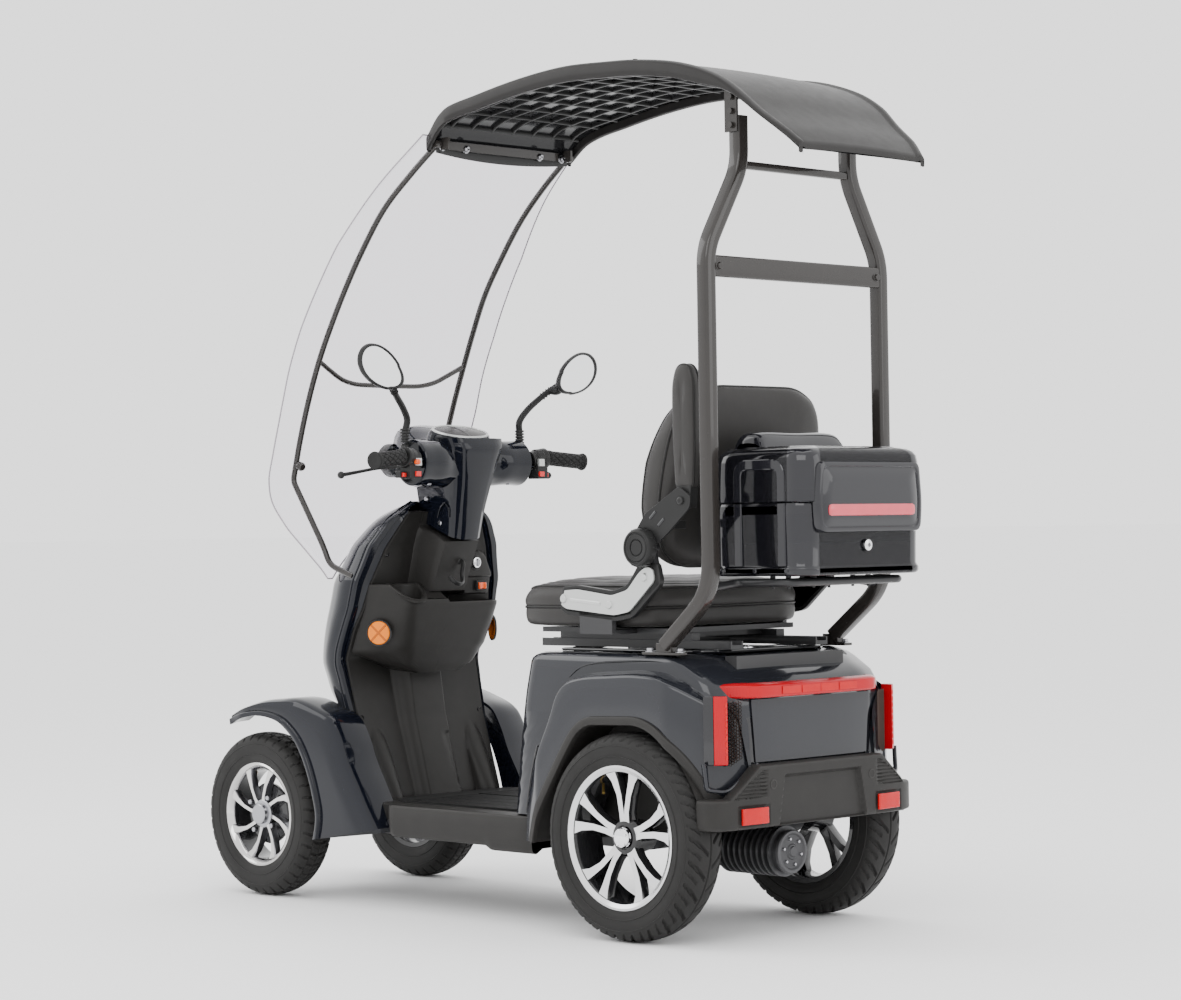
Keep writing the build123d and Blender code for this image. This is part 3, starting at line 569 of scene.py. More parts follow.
def front_groove(angle, across):
    """Depth of the front tyre's block tread; across runs from -1 to 1."""
    turn = angle / (2 * math.pi) * FRONT_PITCHES
    side = abs(across)
    shift = 0.5 if side > 0.47 else 0
    if side < 0.045 or 0.43 < side < 0.50:
        return 3.6
    if side < 1.0 and (turn + shift + side * 0.35) % 1 < 0.17:
        return 3.6
    if side < 0.43 and (turn * 2 + side * 1.1) % 1 < 0.13:
        return 1.8
    return 0


def make_tyre(label, wheel, groove, sign, angles):
    sides = angles
    profile = tyre_profile(wheel, 85)
    radius, half, bead = wheel["radius"], wheel["width"] / 2, wheel["bead"]
    x0, y0, z0 = wheel["x"], sign * wheel["y"], wheel["z"]
    piece = Piece(f"tyre_{label}_tread", TYRE)
    rows = []
    for i in range(sides):
        angle = 2 * math.pi * i / sides
        row = []
        for r, y, _ in profile:
            worn = r - (groove(angle, y / half) if r > radius - TREAD_REACH else 0)
            row.append((x0 + worn * math.cos(angle), y0 + y, z0 + worn * math.sin(angle)))
        rows.append(row)
    piece.grid(rows + rows[:1])
    for share in (0.30, 0.62):
        ring = bead + (radius - bead) * share
        for s in (-1, 1):
            piece.lathe([(ring, s * half * 0.985), (ring + 1.2, s * half * 1.012),
                         (ring + 2.4, s * half * 0.985)], (x0, y0, z0), sides=96, closed=False)
    return piece.make(f"wheel_{label}", [f"tyre_{label}"], sharp=38)


def wheel_frame(wheel, sign):
    """A function that turns (radius, angle, distance outwards from the wheel's middle) into a point."""
    def at(r, angle, out):
        return (wheel["x"] + r * math.cos(angle), sign * (wheel["y"] + out),
                wheel["z"] + r * math.sin(angle))
    return at


def spoke(piece, at, angle, profile, side, face):
    """A tapered spoke: profile rows are (radius, angle shift, half width, front, back)."""
    front_rows, skin_rows = [], []
    for r, shift, half, out, back in profile:
        centre = angle + shift
        da = half / r
        front_rows.append([at(r, centre - da, out), at(r, centre + da, out)])
        skin_rows.append([at(r, centre - da, out), at(r, centre - da * 1.25, out - 3),
                          at(r, centre - da * 1.15, back), at(r, centre + da * 1.15, back),
                          at(r, centre + da * 1.25, out - 3), at(r, centre + da, out)])
    piece.paint(face).grid(front_rows)
    piece.paint(side).grid(skin_rows)


def rear_rim(label, sign):
    at = wheel_frame(REAR, sign)
    centre = (REAR["x"], sign * REAR["y"], REAR["z"])
    piece = Piece(f"rim_{label}_alloy", WHEEL_BLACK)
    s = sign
    piece.lathe([(128, -s * 39), (139, -s * 41), (141, -s * 38), (134, -s * 34), (131, s * 26),
                 (136, s * 34), (141, s * 36), (141, s * 41), (137, s * 43), (130, s * 38), (126, s * 28),
                 (125, -s * 30)], centre, sides=96)
    piece.paint(MACHINED)
    piece.lathe([(136.5, s * 42.2), (141.5, s * 41.5), (141.5, s * 43), (137, s * 43.6), (129.5, s * 39.2)],
                centre, sides=96, closed=False)
    for k in range(REAR_SPOKES):
        base = 2 * math.pi * k / REAR_SPOKES + 0.35
        for lean in (-1, 1):
            rows = [(30, lean * 0.17, 7.0, 27, 4), (52, lean * 0.135, 6.0, 30, 8),
                    (84, lean * 0.155, 6.2, 31, 10), (112, lean * 0.205, 8.5, 33.5, 14),
                    (129, lean * 0.245, 12.5, 37, 20)]
            spoke(piece, at, base, rows, WHEEL_BLACK, MACHINED)
        web = [(32, 0, 8, 24, 6), (50, 0, 5.5, 22, 6), (62, 0, 1.5, 19, 8)]
        spoke(piece, at, base, web, WHEEL_BLACK, WHEEL_BLACK)
    piece.paint(WHEEL_BLACK)
    piece.lathe([(12.5, -s * 34), (30, -s * 34), (36, s * 4), (38, s * 20), (33, s * 27), (24, s * 29),
                 (24, s * 24), (12.5, s * 24)], centre, sides=48)
    piece.paint(CHROME)
    piece.lathe([(0.4, s * 40), (12, s * 40), (18, s * 38.4), (20.5, s * 35), (21, s * 26), (0.4, s * 26)],
                centre, sides=48, closed=False)
    for k in range(REAR_SPOKES):
        spot = at(15.5, 2 * math.pi * k / REAR_SPOKES + 0.2, 37.5)
        piece.lathe([(0.3, s * 3.6), (2.2, s * 3.6), (2.8, s * 2.4), (2.8, -s * 1)], spot, sides=12,
                    closed=False)
    piece.paint(BRASS)
    piece.tube([at(126, 0.92, 6), at(104, 0.92, 20)], 3.1)
    return piece.make(f"wheel_{label}", [f"rim_{label}"], sharp=35)


def front_rim(label, sign):
    at = wheel_frame(FRONT, sign)
    centre = (FRONT["x"], sign * FRONT["y"], FRONT["z"])
    piece = Piece(f"rim_{label}_chrome", WHEEL_CHROME)
    s = sign
    piece.lathe([(106, s * 22), (110, s * 29), (115, s * 31), (115, s * 36), (111, s * 37.5), (105, s * 33),
                 (101, s * 22)], centre, sides=96)
    for k in range(FRONT_SPOKES):
        base = 2 * math.pi * k / FRONT_SPOKES + 0.2
        rows = [(24, -0.10, 6.0, 24, 4), (40, -0.06, 3.8, 25, 6), (64, 0.02, 4.0, 26, 8),
                (88, 0.12, 6.2, 28, 11), (104, 0.20, 9.0, 31, 15)]
        spoke(piece, at, base, rows, STEEL, WHEEL_CHROME)
    piece.lathe([(27, s * 18), (31, s * 19), (31, s * 24), (27, s * 26), (20, s * 26)], centre, sides=48)
    piece.lathe([(0.4, s * 37), (20, s * 37), (22.5, s * 35), (23, s * 32), (23, s * 20), (0.4, s * 20)],
                centre, sides=48, closed=False)
    piece.paint(WHEEL_BLACK)
    piece.lathe([(103, -s * 34), (113, -s * 36), (115, -s * 33), (109, -s * 28), (105.5, s * 21.5),
                 (101, s * 21.5), (100, -s * 26)], centre, sides=96)
    piece.lathe([(10.5, -s * 15), (26, -s * 15), (29, -s * 4), (66, -s * 4), (68, -s * 2), (68, s * 4),
                 (66, s * 6), (30, s * 8), (30, s * 18), (26, s * 19), (10.5, s * 19)], centre, sides=48)
    piece.paint(STEEL)
    for k in range(4):
        spot = at(44, 2 * math.pi * k / 4 + 0.6, 25)
        piece.lathe([(0.3, s * 6.5), (4.6, s * 6.5), (6, s * 5), (6.2, -s * 4)], spot, sides=6,
                    closed=False)
    piece.paint(BRASS)
    piece.tube([at(102, 1.1, 2), at(80, 1.1, 16)], 3.0)
    return piece.make(f"wheel_{label}", [f"rim_{label}"], sharp=35)


def wheels():
    for side, sign in (("left", 1), ("right", -1)):
        make_tyre(f"rear_{side}", REAR, rear_groove, sign, 520)
        make_tyre(f"front_{side}", FRONT, front_groove, sign, 480)
        rear_rim(f"rear_{side}", sign)
        front_rim(f"front_{side}", sign)


# Rear body -----------------------------------------------------------------------------------

ARCH = [(262, 180), (239, 239), (198, 303), (156, 366), (124, 408), (92, 426), (-46, 430), (-92, 412),
        (-150, 362), (-192, 300), (-216, 240), (-222, 226)]
FLARE = [(300, 180), (296, 240), (270, 310), (203, 437), (188, 478), (159, 506), (112, 517), (-28, 525),
         (-88, 521), (-132, 505), (-206, 466), (-216, 440), (-226, 300), (-228, 226)]
BODY_HALF, FLARE_HALF, LINER_HALF = 262, 302, 209
REAR_PLAN = [(372, 232), (345, BODY_HALF), (240, FLARE_HALF), (-120, FLARE_HALF), (-200, 266), (-229, 186)]
REAR_FRONT = [(200, 372), (278, 365), (394, 350), (480, 335), (548, 318), (560, 308)]
REAR_BACK = [(200, -226), (470, -226), (512, -207), (548, -150), (560, -120)]


def along(table, value):
    """Linear interpolation in a table of (key, value) rows whose keys rise."""
    if value <= table[0][0]:
        return table[0][1]
    for (a, p), (b, q) in zip(table, table[1:]):
        if value <= b:
            return p + (q - p) * (value - a) / (b - a)
    return table[-1][1]


def plan_y(x):
    """Half the rear body's width, flares included, at a distance along it."""
    return along(sorted(REAR_PLAN), x)


def flat_line(points, radius, count):
    """Evenly spaced (x, z) points along a rounded line."""
    line = spaced(rounded_line([(x, 0, z) for x, z in points], radius, 6), count)
    return [(p.x, p.z) for p in line]


def offset_line(line, distance):
    """A line of (x, z) points moved to its left by the distance."""
    out = []
    for i, (x, z) in enumerate(line):
        (x0, z0), (x1, z1) = line[max(i - 1, 0)], line[min(i + 1, len(line) - 1)]
        size = math.hypot(x1 - x0, z1 - z0) or 1
        out.append((x - (z1 - z0) / size * distance, z + (x1 - x0) / size * distance))
    return out


def rear_ring(z, inset=0):
    """The left half of the rear body's outline at a height, from the middle front to the middle back."""
    xf, xr = along(REAR_FRONT, z) - inset, along(REAR_BACK, z) + inset
    half = BODY_HALF - inset
    line = [(xf, 0, z), (xf + 2, 120, z), (xf, 232 - inset, z), (xf - 27, half, z), (xr + 30, half, z),
            (xr, 186, z), (xr - 2, 90, z), (xr - 3, 0, z)]
    return rounded_line(line, [0, 200, 24, 24, 26, 24, 80, 0], 5)


def rear_body():
    count = 90
    piece = Piece("rear_body_shell", GLOSS_BODY)
    arch = flat_line(ARCH, 34, count)
    flare = flat_line(FLARE, [0, 40, 60, 30, 22, 30, 60, 60, 40, 24, 20, 60, 60, 0], count)

    def flare_row(line, drop, y_at=None):
        return [(x, (plan_y(x) - drop) if y_at is None else min(y_at, plan_y(x)), z) for x, z in line]

    rows = [flare_row(arch, 16), flare_row(arch, 2), flare_row(offset_line(arch, -1.5), 0.3)]
    inner, outer = offset_line(arch, -3), offset_line(flare, 8)
    for k in range(1, 7):
        t = k / 7
        mixed = [(a[0] + (b[0] - a[0]) * t, a[1] + (b[1] - a[1]) * t) for a, b in zip(inner, outer)]
        rows.append(flare_row(mixed, -1.2 * math.sin(math.pi * t)))
    lip = ((7.5, 0.2), (4, 1.2), (1.5, 3.6), (0, 8))
    rows += [flare_row(offset_line(flare, d), drop) for d, drop in lip]
    rows += [flare_row(offset_line(flare, -2.5), 20), flare_row(offset_line(flare, -6), 34, BODY_HALF),
             flare_row(offset_line(flare, -12), 44, 255)]
    piece.grid(rows)

    tall = [(z, 0) for z in (440, 455, 470, 485, 500, 515, 530, 541)]
    tall += [(549, 1.2), (554.5, 4), (558.5, 8.5), (560.3, 15)]
    rings = [rear_ring(z, inset) for z, inset in tall]
    piece.grid(rings)
    piece.fan(rings[-1] + [(p.x, -p.y, p.z) for p in rings[-1][::-1][1:-1]])

    arch_front = sorted((z, x) for x, z in arch if x > 92)
    arch_back = sorted((z, x) for x, z in arch if x < -46)
    levels = [230, 262, 294, 326, 358, 390, 420, 440]
    front_rows, back_rows = [], []
    for z in levels:
        ring = [Vector(p) for p in rear_ring(z)]
        start = along(arch_front, z) + 8
        front_side = [p for p in ring[:len(ring) // 2] if p.x > 280]
        front_rows.append(spaced(front_side + [Vector((start, BODY_HALF, z))], 24))
        back_side = [p for p in ring[len(ring) // 2:] if p.x < -180]
        back_rows.append(spaced([Vector((along(arch_back, z) - 8, BODY_HALF, z))] + back_side, 40))
    piece.grid(front_rows)
    piece.paint(GLOSS_BLACK).grid(back_rows)

    panel = []
    for z, half in ((350, 164), (353, 166), (362, 167), (400, 170), (440, 174), (466, 176.5), (474, 176),
                    (476, 174)):
        out = 232.5 if 352 < z < 475 else 229.5
        bow = [(-out + 3.5 * (y / 176) ** 4, y * half / 176, z) for y in (176, 172, 150, 110, 60, 0)]
        panel.append(bow)
    piece.paint(GLOSS_BODY).grid(panel)
    piece.sweep(rounded_line([(-203, 287, 356), (-208, 284, 306), (-226, 246, 300), (-232, 166, 350)],
                             [0, 7, 16, 0]), rounded_rectangle(7, 9, 2.5), up=(-1, 0.3, 0))
    piece.mirrored()
    piece.paint(MATTE)
    for s in (1, -1):
        liner = [[(x, s * y, z) for x, z in offset_line(arch, 4)] for y in (296, BODY_HALF, LINER_HALF)]
        piece.grid(liner)
        piece.fan([(x, s * LINER_HALF, z) for x, z in offset_line(arch, 4)])
    return piece.make("chassis", ["rear_body"], sharp=32, outward=False)


def body_groove_shade():
    """Raised gloss-black tubes on the rear body that paint the shade and dark reflection of its creases:
    the groove ahead of the flare and the dark deck line.
    """
    piece = Piece("rear_body_groove_shade", GLOSS_BLACK)
    # Painted shade and dark reflection: a gloss-black tube laid in the groove ahead of the flare.
    line = flat_line([(301, 236), (276, 314), (209, 440), (194, 480), (165, 509)], 30, 24)
    piece.sweep([(x, plan_y(x) - 6 if x > 240 else 263.5, z) for x, z in line], ellipse(2.4, 2.4, 8))
    # Painted shade and dark reflection: a tapering gloss-black tube along the deck crease.
    deck_shade_line = [(182, 263, 512), (150, 263, 532), (110, 263, 541), (40, 263, 546), (-60, 262, 548),
              (-120, 256, 540)]
    piece.tube(smooth_line(deck_shade_line, 26), 1.6, 8, scale=lambda t: 0.3
               + 0.7 * math.sin(math.pi * min(t * 1.2, 1)))
    piece.mirrored()
    return piece.make("chassis")


def arch_trims():
    piece = Piece("arch_trim_bands", MATTE)
    line = flat_line(ARCH, 34, 90)

    def row(distance, y):
        return [(x, min(y, plan_y(x) + y - FLARE_HALF), z) for x, z in offset_line(line, distance)]

    piece.grid([row(6, 296), row(5, 304), row(3.5, 307.5), row(0, 308.6), row(-9, 308.4), row(-12, 307),
                row(-13, 303), row(-13, 298)])
    piece.mirrored()
    return piece.make("chassis", ["arch_trims"], sharp=40)


BUMPER_PLAN = [(-196, 301), (-232, 301), (-251, 262), (-258, 190), (-258.5, 0)]


def bumper_depth(y, z, top):
    """How far the bumper's face stands in from its plain surface at a height and side distance."""
    depth = 0
    edge = 113 + (327 - z) * 0.19
    inside = min((edge - abs(y)) / 5, (327 - z) / 5)
    if inside > 0:
        depth = 9 * min(inside, 1) ** 0.7
    if 162 < abs(y) < 290 and z > 288 and z < top - 6:
        slope = 352 - (abs(y) - 150) * 0.52
        if z < slope:
            wave = 0.5 + 0.5 * math.cos((z - 288) / 7.0 * 2 * math.pi)
            depth += 3.2 * wave * min((abs(y) - 162) / 6, 1)
    if 158 < abs(y) < 246 and 232 < z < 275:
        depth += 3 * min((abs(y) - 158) / 3, (246 - abs(y)) / 3, (275 - z) / 3, (z - 232) / 3, 1)
    return depth


def rear_bumper():
    piece = Piece("rear_bumper_skin", MATTE)
    path = spaced(rounded_line([(x, y, 0) for x, y in BUMPER_PLAN], [0, 16, 40, 60, 0], 8), 130)
    columns = []
    for i, p in enumerate(path):
        q, r = path[max(i - 1, 0)], path[min(i + 1, len(path) - 1)]
        way = (r - q).normalized()
        inward = Vector((-way.y, way.x, 0))
        if inward.x < -0.2:
            inward = -inward
        if i < 12:
            inward = Vector((0, -1, 0))
        top = 288 if p.y > 262 else min(288 + (262 - p.y) * 0.78, 349)
        column = [p + inward * 30 + Vector((0, 0, 233)), p + inward * 6 + Vector((0, 0, 229)),
                  p + inward * 1.5 + Vector((0, 0, 231))]
        for k in range(46):
            z = 234 + (top - 6 - 234) * k / 45
            column.append(p + inward * bumper_depth(p.y, z, top) + Vector((0, 0, z)))
        column += [p + inward * 1.2 + Vector((0, 0, top - 2)), p + inward * 4.5 + Vector((0, 0, top)),
                   p + inward * 28 + Vector((0, 0, top + 1))]
        columns.append(column)
    piece.grid(columns)
    piece.lathe([(5.6, -12), (5.6, -1), (7.4, 0.8), (9.6, 0.8), (9.6, -2)], (-258, 148, 311), (-1, 0, 0),
                32, False)
    piece.paint(GLOSS_BLACK)
    piece.lathe([(0.2, -8), (5.8, -8)], (-258, 148, 311), (-1, 0, 0), 32, False)
    piece.paint(MATTE)
    piece.tube([(-257.8, 196, 240), (-257.6, 196, 240.5)], 0.2, 6)
    piece.mirrored()
    return piece.make("chassis", ["rear_bumper"], sharp=30)


def lens_block(piece, corners, depth, z0, z1, bevel=1.2):
    """A lens standing on a line of (x, y) points, with bevelled top and bottom edges."""
    line = spaced([Vector((x, y, 0)) for x, y in corners], 30)
    rows = []
    for z, out in ((z0, 0), (z0, depth - bevel), (z0 + bevel, depth), (z1 - bevel, depth),
                   (z1, depth - bevel), (z1, 0)):
        row = []
        for i, p in enumerate(line):
            q, r = line[max(i - 1, 0)], line[min(i + 1, len(line) - 1)]
            way = (r - q).normalized()
            normal = Vector((-abs(way.y), way.x if way.y < 0 else -way.x, 0))
            side = bevel if i in (0, len(line) - 1) and out > depth - bevel - 0.1 else 0
            row.append(p + normal * (out - side) + Vector((0, 0, z)))
        rows.append(row)
    piece.grid(rows)
    piece.fan([row[0] for row in rows])
    piece.fan([row[-1] for row in rows][::-1])


def reflectors():
    piece = Piece("rear_reflector_lenses", RED_REFLECTOR)
    lens_block(piece, [(-257.5, 166), (-257.2, 190), (-253.5, 236)], 4.5, 238, 269)
    piece.mirrored()
    made = piece.make("chassis", ["rear_reflectors"])
    round_lens = Piece("side_reflector_lenses", AMBER)
    axis = Vector((-0.46, 0.888, 0)).normalized()
    centre = Vector((866, 168, 588))
    round_lens.lathe([(0.2, 6.2), (9, 6.6), (20, 6.2), (24.5, 5.4), (26, 3.5), (26, 0)], centre, axis, 48,
                     False)
    round_lens.paint(SATIN).lathe([(26, 3), (26.4, 5), (28.5, 5), (29.4, 2.5), (29.4, 0)], centre, axis, 48,
                                  False)
    flat = axis.cross(Vector((0, 0, 1)))
    round_lens.paint(AMBER_DARK)
    for sign in (1, -1):
        arm = (flat + Vector((0, 0, sign))).normalized()
        round_lens.sweep([centre + axis * 6.0 - arm * 24, centre + axis * 6.9,
                          centre + axis * 6.0 + arm * 24], rounded_rectangle(4.5, 1.6, 0.6), up=axis)
    round_lens.mirrored()
    round_lens.make("chassis", ["side_reflectors"])
    return made


def tail_lights():
    piece = Piece("tail_light_lenses", RED_LENS)
    plan = [(-118, 284, 0), (-176, 243, 0), (-222, 205, 0), (-246, 178, 0), (-250, 150, 0), (-252, 0, 0)]
    path = rounded_line(plan, [0, 60, 30, 16, 60, 0], 6)
    line = spaced(path + [Vector((p.x, -p.y, 0)) for p in path[::-1][1:]], 120)
    rows = []
    for i, p in enumerate(line):
        q, r = line[max(i - 1, 0)], line[min(i + 1, len(line) - 1)]
        way = (r - q).normalized()
        out = Vector((way.y, -way.x, 0))
        if out.x > 0:
            out = -out
        end = min(i, len(line) - 1 - i) / 20
        k = min(0.12 + end, 1)
        section = [(-19, 506.5), (-6, 505), (0, 502), (1.5, 500), (1.5, 481), (0, 478.5), (-4, 477),
                   (-19, 477)]
        rows.append([p + out * (a * (0.35 + 0.65 * k)) + Vector((0, 0, 503 + (z - 503) * k)) for a,
                     z in section])
    piece.grid(rows, True, True)
    piece.paint(RED_REFLECTOR)
    for y0, y1 in ((-112, -58), (-54, -2), (2, 54), (58, 112)):
        piece.box((-254.2, y0, 483), (-253, y1, 498))
    piece.paint(RED_LENS)
    lens = [(-231, 247), (-228, 256), (-222, 263), (-214, 268), (-198, 254), (-206, 245)]
    housing = [(-213.5, 268.5), (-206, 274.5), (-197, 278.5), (-188, 268), (-198, 256)]
    for s in (1, -1):
        for outline, paint in ((lens, RED_LENS), (housing, GLOSS_BLACK)):
            rows = []
            for z, k in ((352, 0.0), (353.5, 0.8), (356, 1), (400, 1), (440, 1), (480, 1), (484, 0.9)):
                rows.append([(x + (1 - k) * 3, s * (y - (1 - k) * 2), z) for x, y in outline])
            piece.paint(paint).grid(rows, True, True)
        piece.paint(RED_REFLECTOR)
        for n in range(9):
            z = 362 + n * 12.6
            piece.box((-231.2, s * 250 - 2.4, z), (-228.4, s * 250 + 2.4, z + 9.5))
        piece.paint(RED_LENS)
    return piece.make("chassis", ["tail_lights"], bevel=0.8, sharp=30)


MESH_SIZE, MESH_WALL = 3.6, 0.75
MESH_COLUMNS, MESH_ROWS = 8, 21
MESH_END, MESH_TOP = 44, 473


def rear_mesh():
    """The hexagonal mesh beside each corner lamp."""
    piece = Piece("rear_corner_mesh", BRONZE_MESH)
    start, end = Vector((-227.6, 204, 0)), Vector((-210.5, 246, 0))
    flat = (end - start).normalized()
    out = Vector((-flat.y, flat.x, 0))
    rims = ((MESH_SIZE, 1.2), (MESH_SIZE - MESH_WALL, 2.4), (MESH_SIZE - MESH_WALL * 1.6, 0.4))
    turns = [math.pi / 3 * k for k in range(6)]
    for column in range(MESH_COLUMNS):
        for row in range(MESH_ROWS):
            u = 3 + column * MESH_SIZE * 1.55
            z = 352 + row * MESH_SIZE * 1.79 + (MESH_SIZE * 0.89 if column % 2 else 0)
            if z < 351 + (20 - u) * 0.5 or z > MESH_TOP or u > MESH_END:
                continue
            cell = []
            for radius, lift in rims:
                cell.append([start + flat * (u + radius * math.cos(turn))
                             + Vector((0, 0, z + radius * math.sin(turn))) + out * lift for turn in turns])
            piece.grid(cell, closed=True)
    piece.mirrored()
    return piece.make("chassis")


DECK_MIDDLE = 90
# Height and inset of the cover's edge, from its rim up and in to its flat middle.
DECK_STEPS = [(560.5, -3), (564, -1), (566, 1.5), (567, 6), (567.2, 16), (565.6, 19), (565.6, 60)]


def rear_deck():
    piece = Piece("rear_deck_cover", GLOSS_BLACK)
    half = [(304, 150), (296, 190), (-100, 192), (-128, 150)]
    outline = [(x, y, 0) for x, y in half] + [(x, -y, 0) for x, y in half[::-1]]
    base = spaced(closed_round(outline, 18, 5), 120)

    def inner(p, inset, z):
        away = p.x - DECK_MIDDLE
        in_x = math.copysign(min(inset, abs(away)), away) if abs(away) > 150 else 0
        return Vector((p.x - in_x, p.y - math.copysign(inset, p.y) * min(abs(p.y) / 60, 1), z))

    rows = [[inner(p, inset, z) for p in base] for z, inset in DECK_STEPS]
    piece.grid(rows)
    piece.fan(rows[-1])
    piece.paint(GLOSS_BODY)
    piece.sweep(rounded_line([(-96, 178, 567.4), (-70, 40, 567.4), (-58, 0, 567.4), (-70, -40, 567.4),
                              (-96, -178, 567.4)], [0, 30, 30, 30, 0]), rounded_rectangle(3, 2.2, 0.8))
    piece.paint(CHROME)
    piece.lathe([(0.3, 7.5), (5, 7.5), (6, 6.5), (6.5, 5.2), (12, 5.6), (14, 4.4), (14.5, 2)],
                (-60, 0, 562), (0, 0, 1), 36, False)
    piece.paint(GLOSS_BLACK).box((-62.6, -1, 569), (-57.4, 1, 570))
    return piece.make("chassis", ["rear_deck"], sharp=28)


# Front body ----------------------------------------------------------------------------------

WING = [(228, 869), (400, 923), (530, 953), (585, 928), (640, 900), (775, 864), (852, 836)]
TUNNEL = [(222, 838), (400, 888), (496, 903), (560, 892), (650, 884), (664, 878), (676, 822), (711, 808),
          (786, 774), (800, 800), (834, 880), (852, 890)]
SHIELD_HALF = [(220, 183), (400, 184), (530, 190), (600, 192), (692, 176), (775, 146), (845, 106),
               (860, 98)]


def ease(t):
    """0 to 1 with a soft start and end."""
    t = max(0.0, min(1.0, t))
    return t * t * (3 - 2 * t)


def shield_x(y, z):
    """The rider's face of the leg shield: wings, tunnel, foot pillars and the slot in the tunnel."""
    half = along(SHIELD_HALF, z)
    wing = along(WING, z) - 5 * (abs(y) / half) ** 6
    tunnel = min(along(TUNNEL, z), wing)
    inner, outer = (44, 72) if z < 560 else (50, 66)
    x = wing - (wing - tunnel) * ease((outer - abs(y)) / (outer
                                                          - inner)) + 3 * (y / 60) ** 2 * (abs(y) < 60)
    reach = 27 * math.sqrt(max(0, 1 - (max(z - 290, 0) / 88) ** 2))
    if reach > 1 and abs(abs(y) - 141) < reach:
        x -= 30 * max(0, 1 - (z - 228) / 150) ** 0.8 * math.sqrt(1 - ((abs(y) - 141) / reach) ** 2)
    along_slot = (z - 247) / 104
    middle = -56 + 13 * along_slot
    inside = min((15 - abs(y - middle)) / 2.5, (z - 240) / 2.5, (362 - z) / 2.5)
    corner = math.hypot(max(abs(y - middle) - 8, 0), max(abs(z - 301) - 54, 0))
    if inside > 0 and corner < 7.5:
        x += 4 * min(inside, 1)
    return x


# Half the shield's columns, from the middle out: close together where its surface turns.
SHIELD_STEPS = ([0, 8, 16, 24, 32, 38, 42, 44, 46, 49, 52, 55, 58, 61, 64, 66, 68, 70, 72, 75, 80, 88, 96,
                 104] + [110, 112, 114, 116, 118, 121, 125, 130, 136, 141, 146, 152, 157, 161, 164, 166,
                         168, 170])


def leg_shield():
    piece = Piece("leg_shield_face", MATTE)
    columns = [-y for y in SHIELD_STEPS[::-1]] + SHIELD_STEPS[1:]
    rows = []
    for k in range(105):
        z = 223 + (852 - 223) * k / 104
        half = along(SHIELD_HALF, z)
        row = []
        for y in columns:
            side_y = max(-half, min(half, y)) if abs(y) < 160 else math.copysign(min(abs(y), half), y)
            row.append((shield_x(side_y, z), side_y, z))
        for side in (1, -1):
            edge = [(along(WING, z) + back, side * (half + wide), z)
                    for back, wide in ((-5, 1), (1, 5.5), (12, 6.5))]
            row = edge[::-1] + row if side < 0 else row + edge
        rows.append(row)
    z, half = 853, 97
    top = [(846, max(-half, min(half, y)), z) for y in columns]
    rows.append([(870, -half, z)] * 3 + [(p[0] + 22, p[1], p[2] + 2) for p in top] + [(870, half, z)] * 3)
    piece.grid(rows)
    for y, z in ((182, 400), (178, 282), (148, 760)):
        for s in (1, -1):
            x = shield_x(y * 0.97, z)
            piece.paint(GLOSS_BLACK)
            piece.lathe([(0.2, 1), (4.6, 1), (5.2, -1.2), (6.2, -0.4), (6.4, 1)], (x, s * y * 0.97, z),
                        (1, 0, 0), 20, False)
    piece.paint(SATIN)
    hook = smooth_line([(797, -12, 744), (786, -10, 735), (788, -8, 714), (782, -4, 700), (772, 8, 692),
                        (768, 22, 692), (772, 33, 699), (779, 36, 708)], 28)
    piece.sweep(hook, rounded_rectangle(7, 10, 3), up=(1, 0, 0))
    piece.lathe([(0.3, 5), (8, 5), (11, 2), (11, -8)], (797, -12, 744), (-1, 0, 0), 24, False)
    return piece.make("chassis", ["leg_shield"], sharp=34, outward=False)


KEY_AT = (829, -85, 737)


def console():
    """The key and switch console to the right of the tunnel."""
    piece = Piece("console_housing", MATTE)
    rows = []
    for z, face, right in ((666, 838, -128), (669, 834, -131), (690, 832, -135), (704, 831.5, -136.5),
                           (707, 827, -137), (712, 826.5, -136.5), (748, 827, -121), (757, 831, -117),
                           (764, 842, -112), (772, 875, -104)):
        rows.append([(930, right + 2, z), (face + 8, right, z), (face + 2, right + 2, z),
                     (face, right + 6, z), (face, -100, z), (face, -72, z), (face + 1, -58, z),
                     (930, -50, z)])
    piece.grid(rows)
    piece.fan(rows[0][::-1]).fan(rows[-1])
    piece.paint(SATIN)
    piece.lathe([(13.5, -3), (18, -3), (18.5, 0), (17, 1.5), (14, 1.8), (13.5, 0)],
                (826.5, KEY_AT[1], KEY_AT[2]), (-1, 0, 0), 40)
    piece.box((823.6, -116, 674), (830, -86, 697))
    return piece.make("chassis", bevel=1.4, sharp=35)


def key_and_switch():
    key = Piece("key_barrel", CHROME)
    key.lathe([(0.2, 9.4), (9, 9.4), (11.6, 8.4), (12.8, 6), (12.8, -4)], KEY_AT, (-1, 0, 0), 40, False)
    key.paint(STEEL).box((815.5, -86.6, 728.5), (820.2, -83.4, 745.5))
    key.paint(GLOSS_BLACK).lathe([(7.2, 9.5), (7.2, 10.2), (8.0, 10.2), (8.0, 9.5)], KEY_AT, (-1, 0, 0), 32)
    key.make("key", ["ignition_key"], bevel=0.4)
    rocker = Piece("rocker_cap", ORANGE)
    rows = []
    for y, lift in ((-112, 3.4), (-109, 4.6), (-105, 2.6), (-101, 1.6), (-97, 2.6), (-93, 4.6), (-90, 3.4)):
        rows.append([(826, y, 677.5), (822 - lift + 3, y, 678), (821 - lift + 2.5, y, 680),
                     (821 - lift + 2.5, y, 690), (822 - lift + 3, y, 692), (826, y, 692.5)])
    rocker.grid(rows).fan(rows[0][::-1]).fan(rows[-1])
    rocker.make("rocker", ["rocker_switch"], bevel=0.5)


def pocket_top(x):
    """Height of the cup side's sloping rim."""
    return min(692, 656 + (x - 804) * 36 / 46)


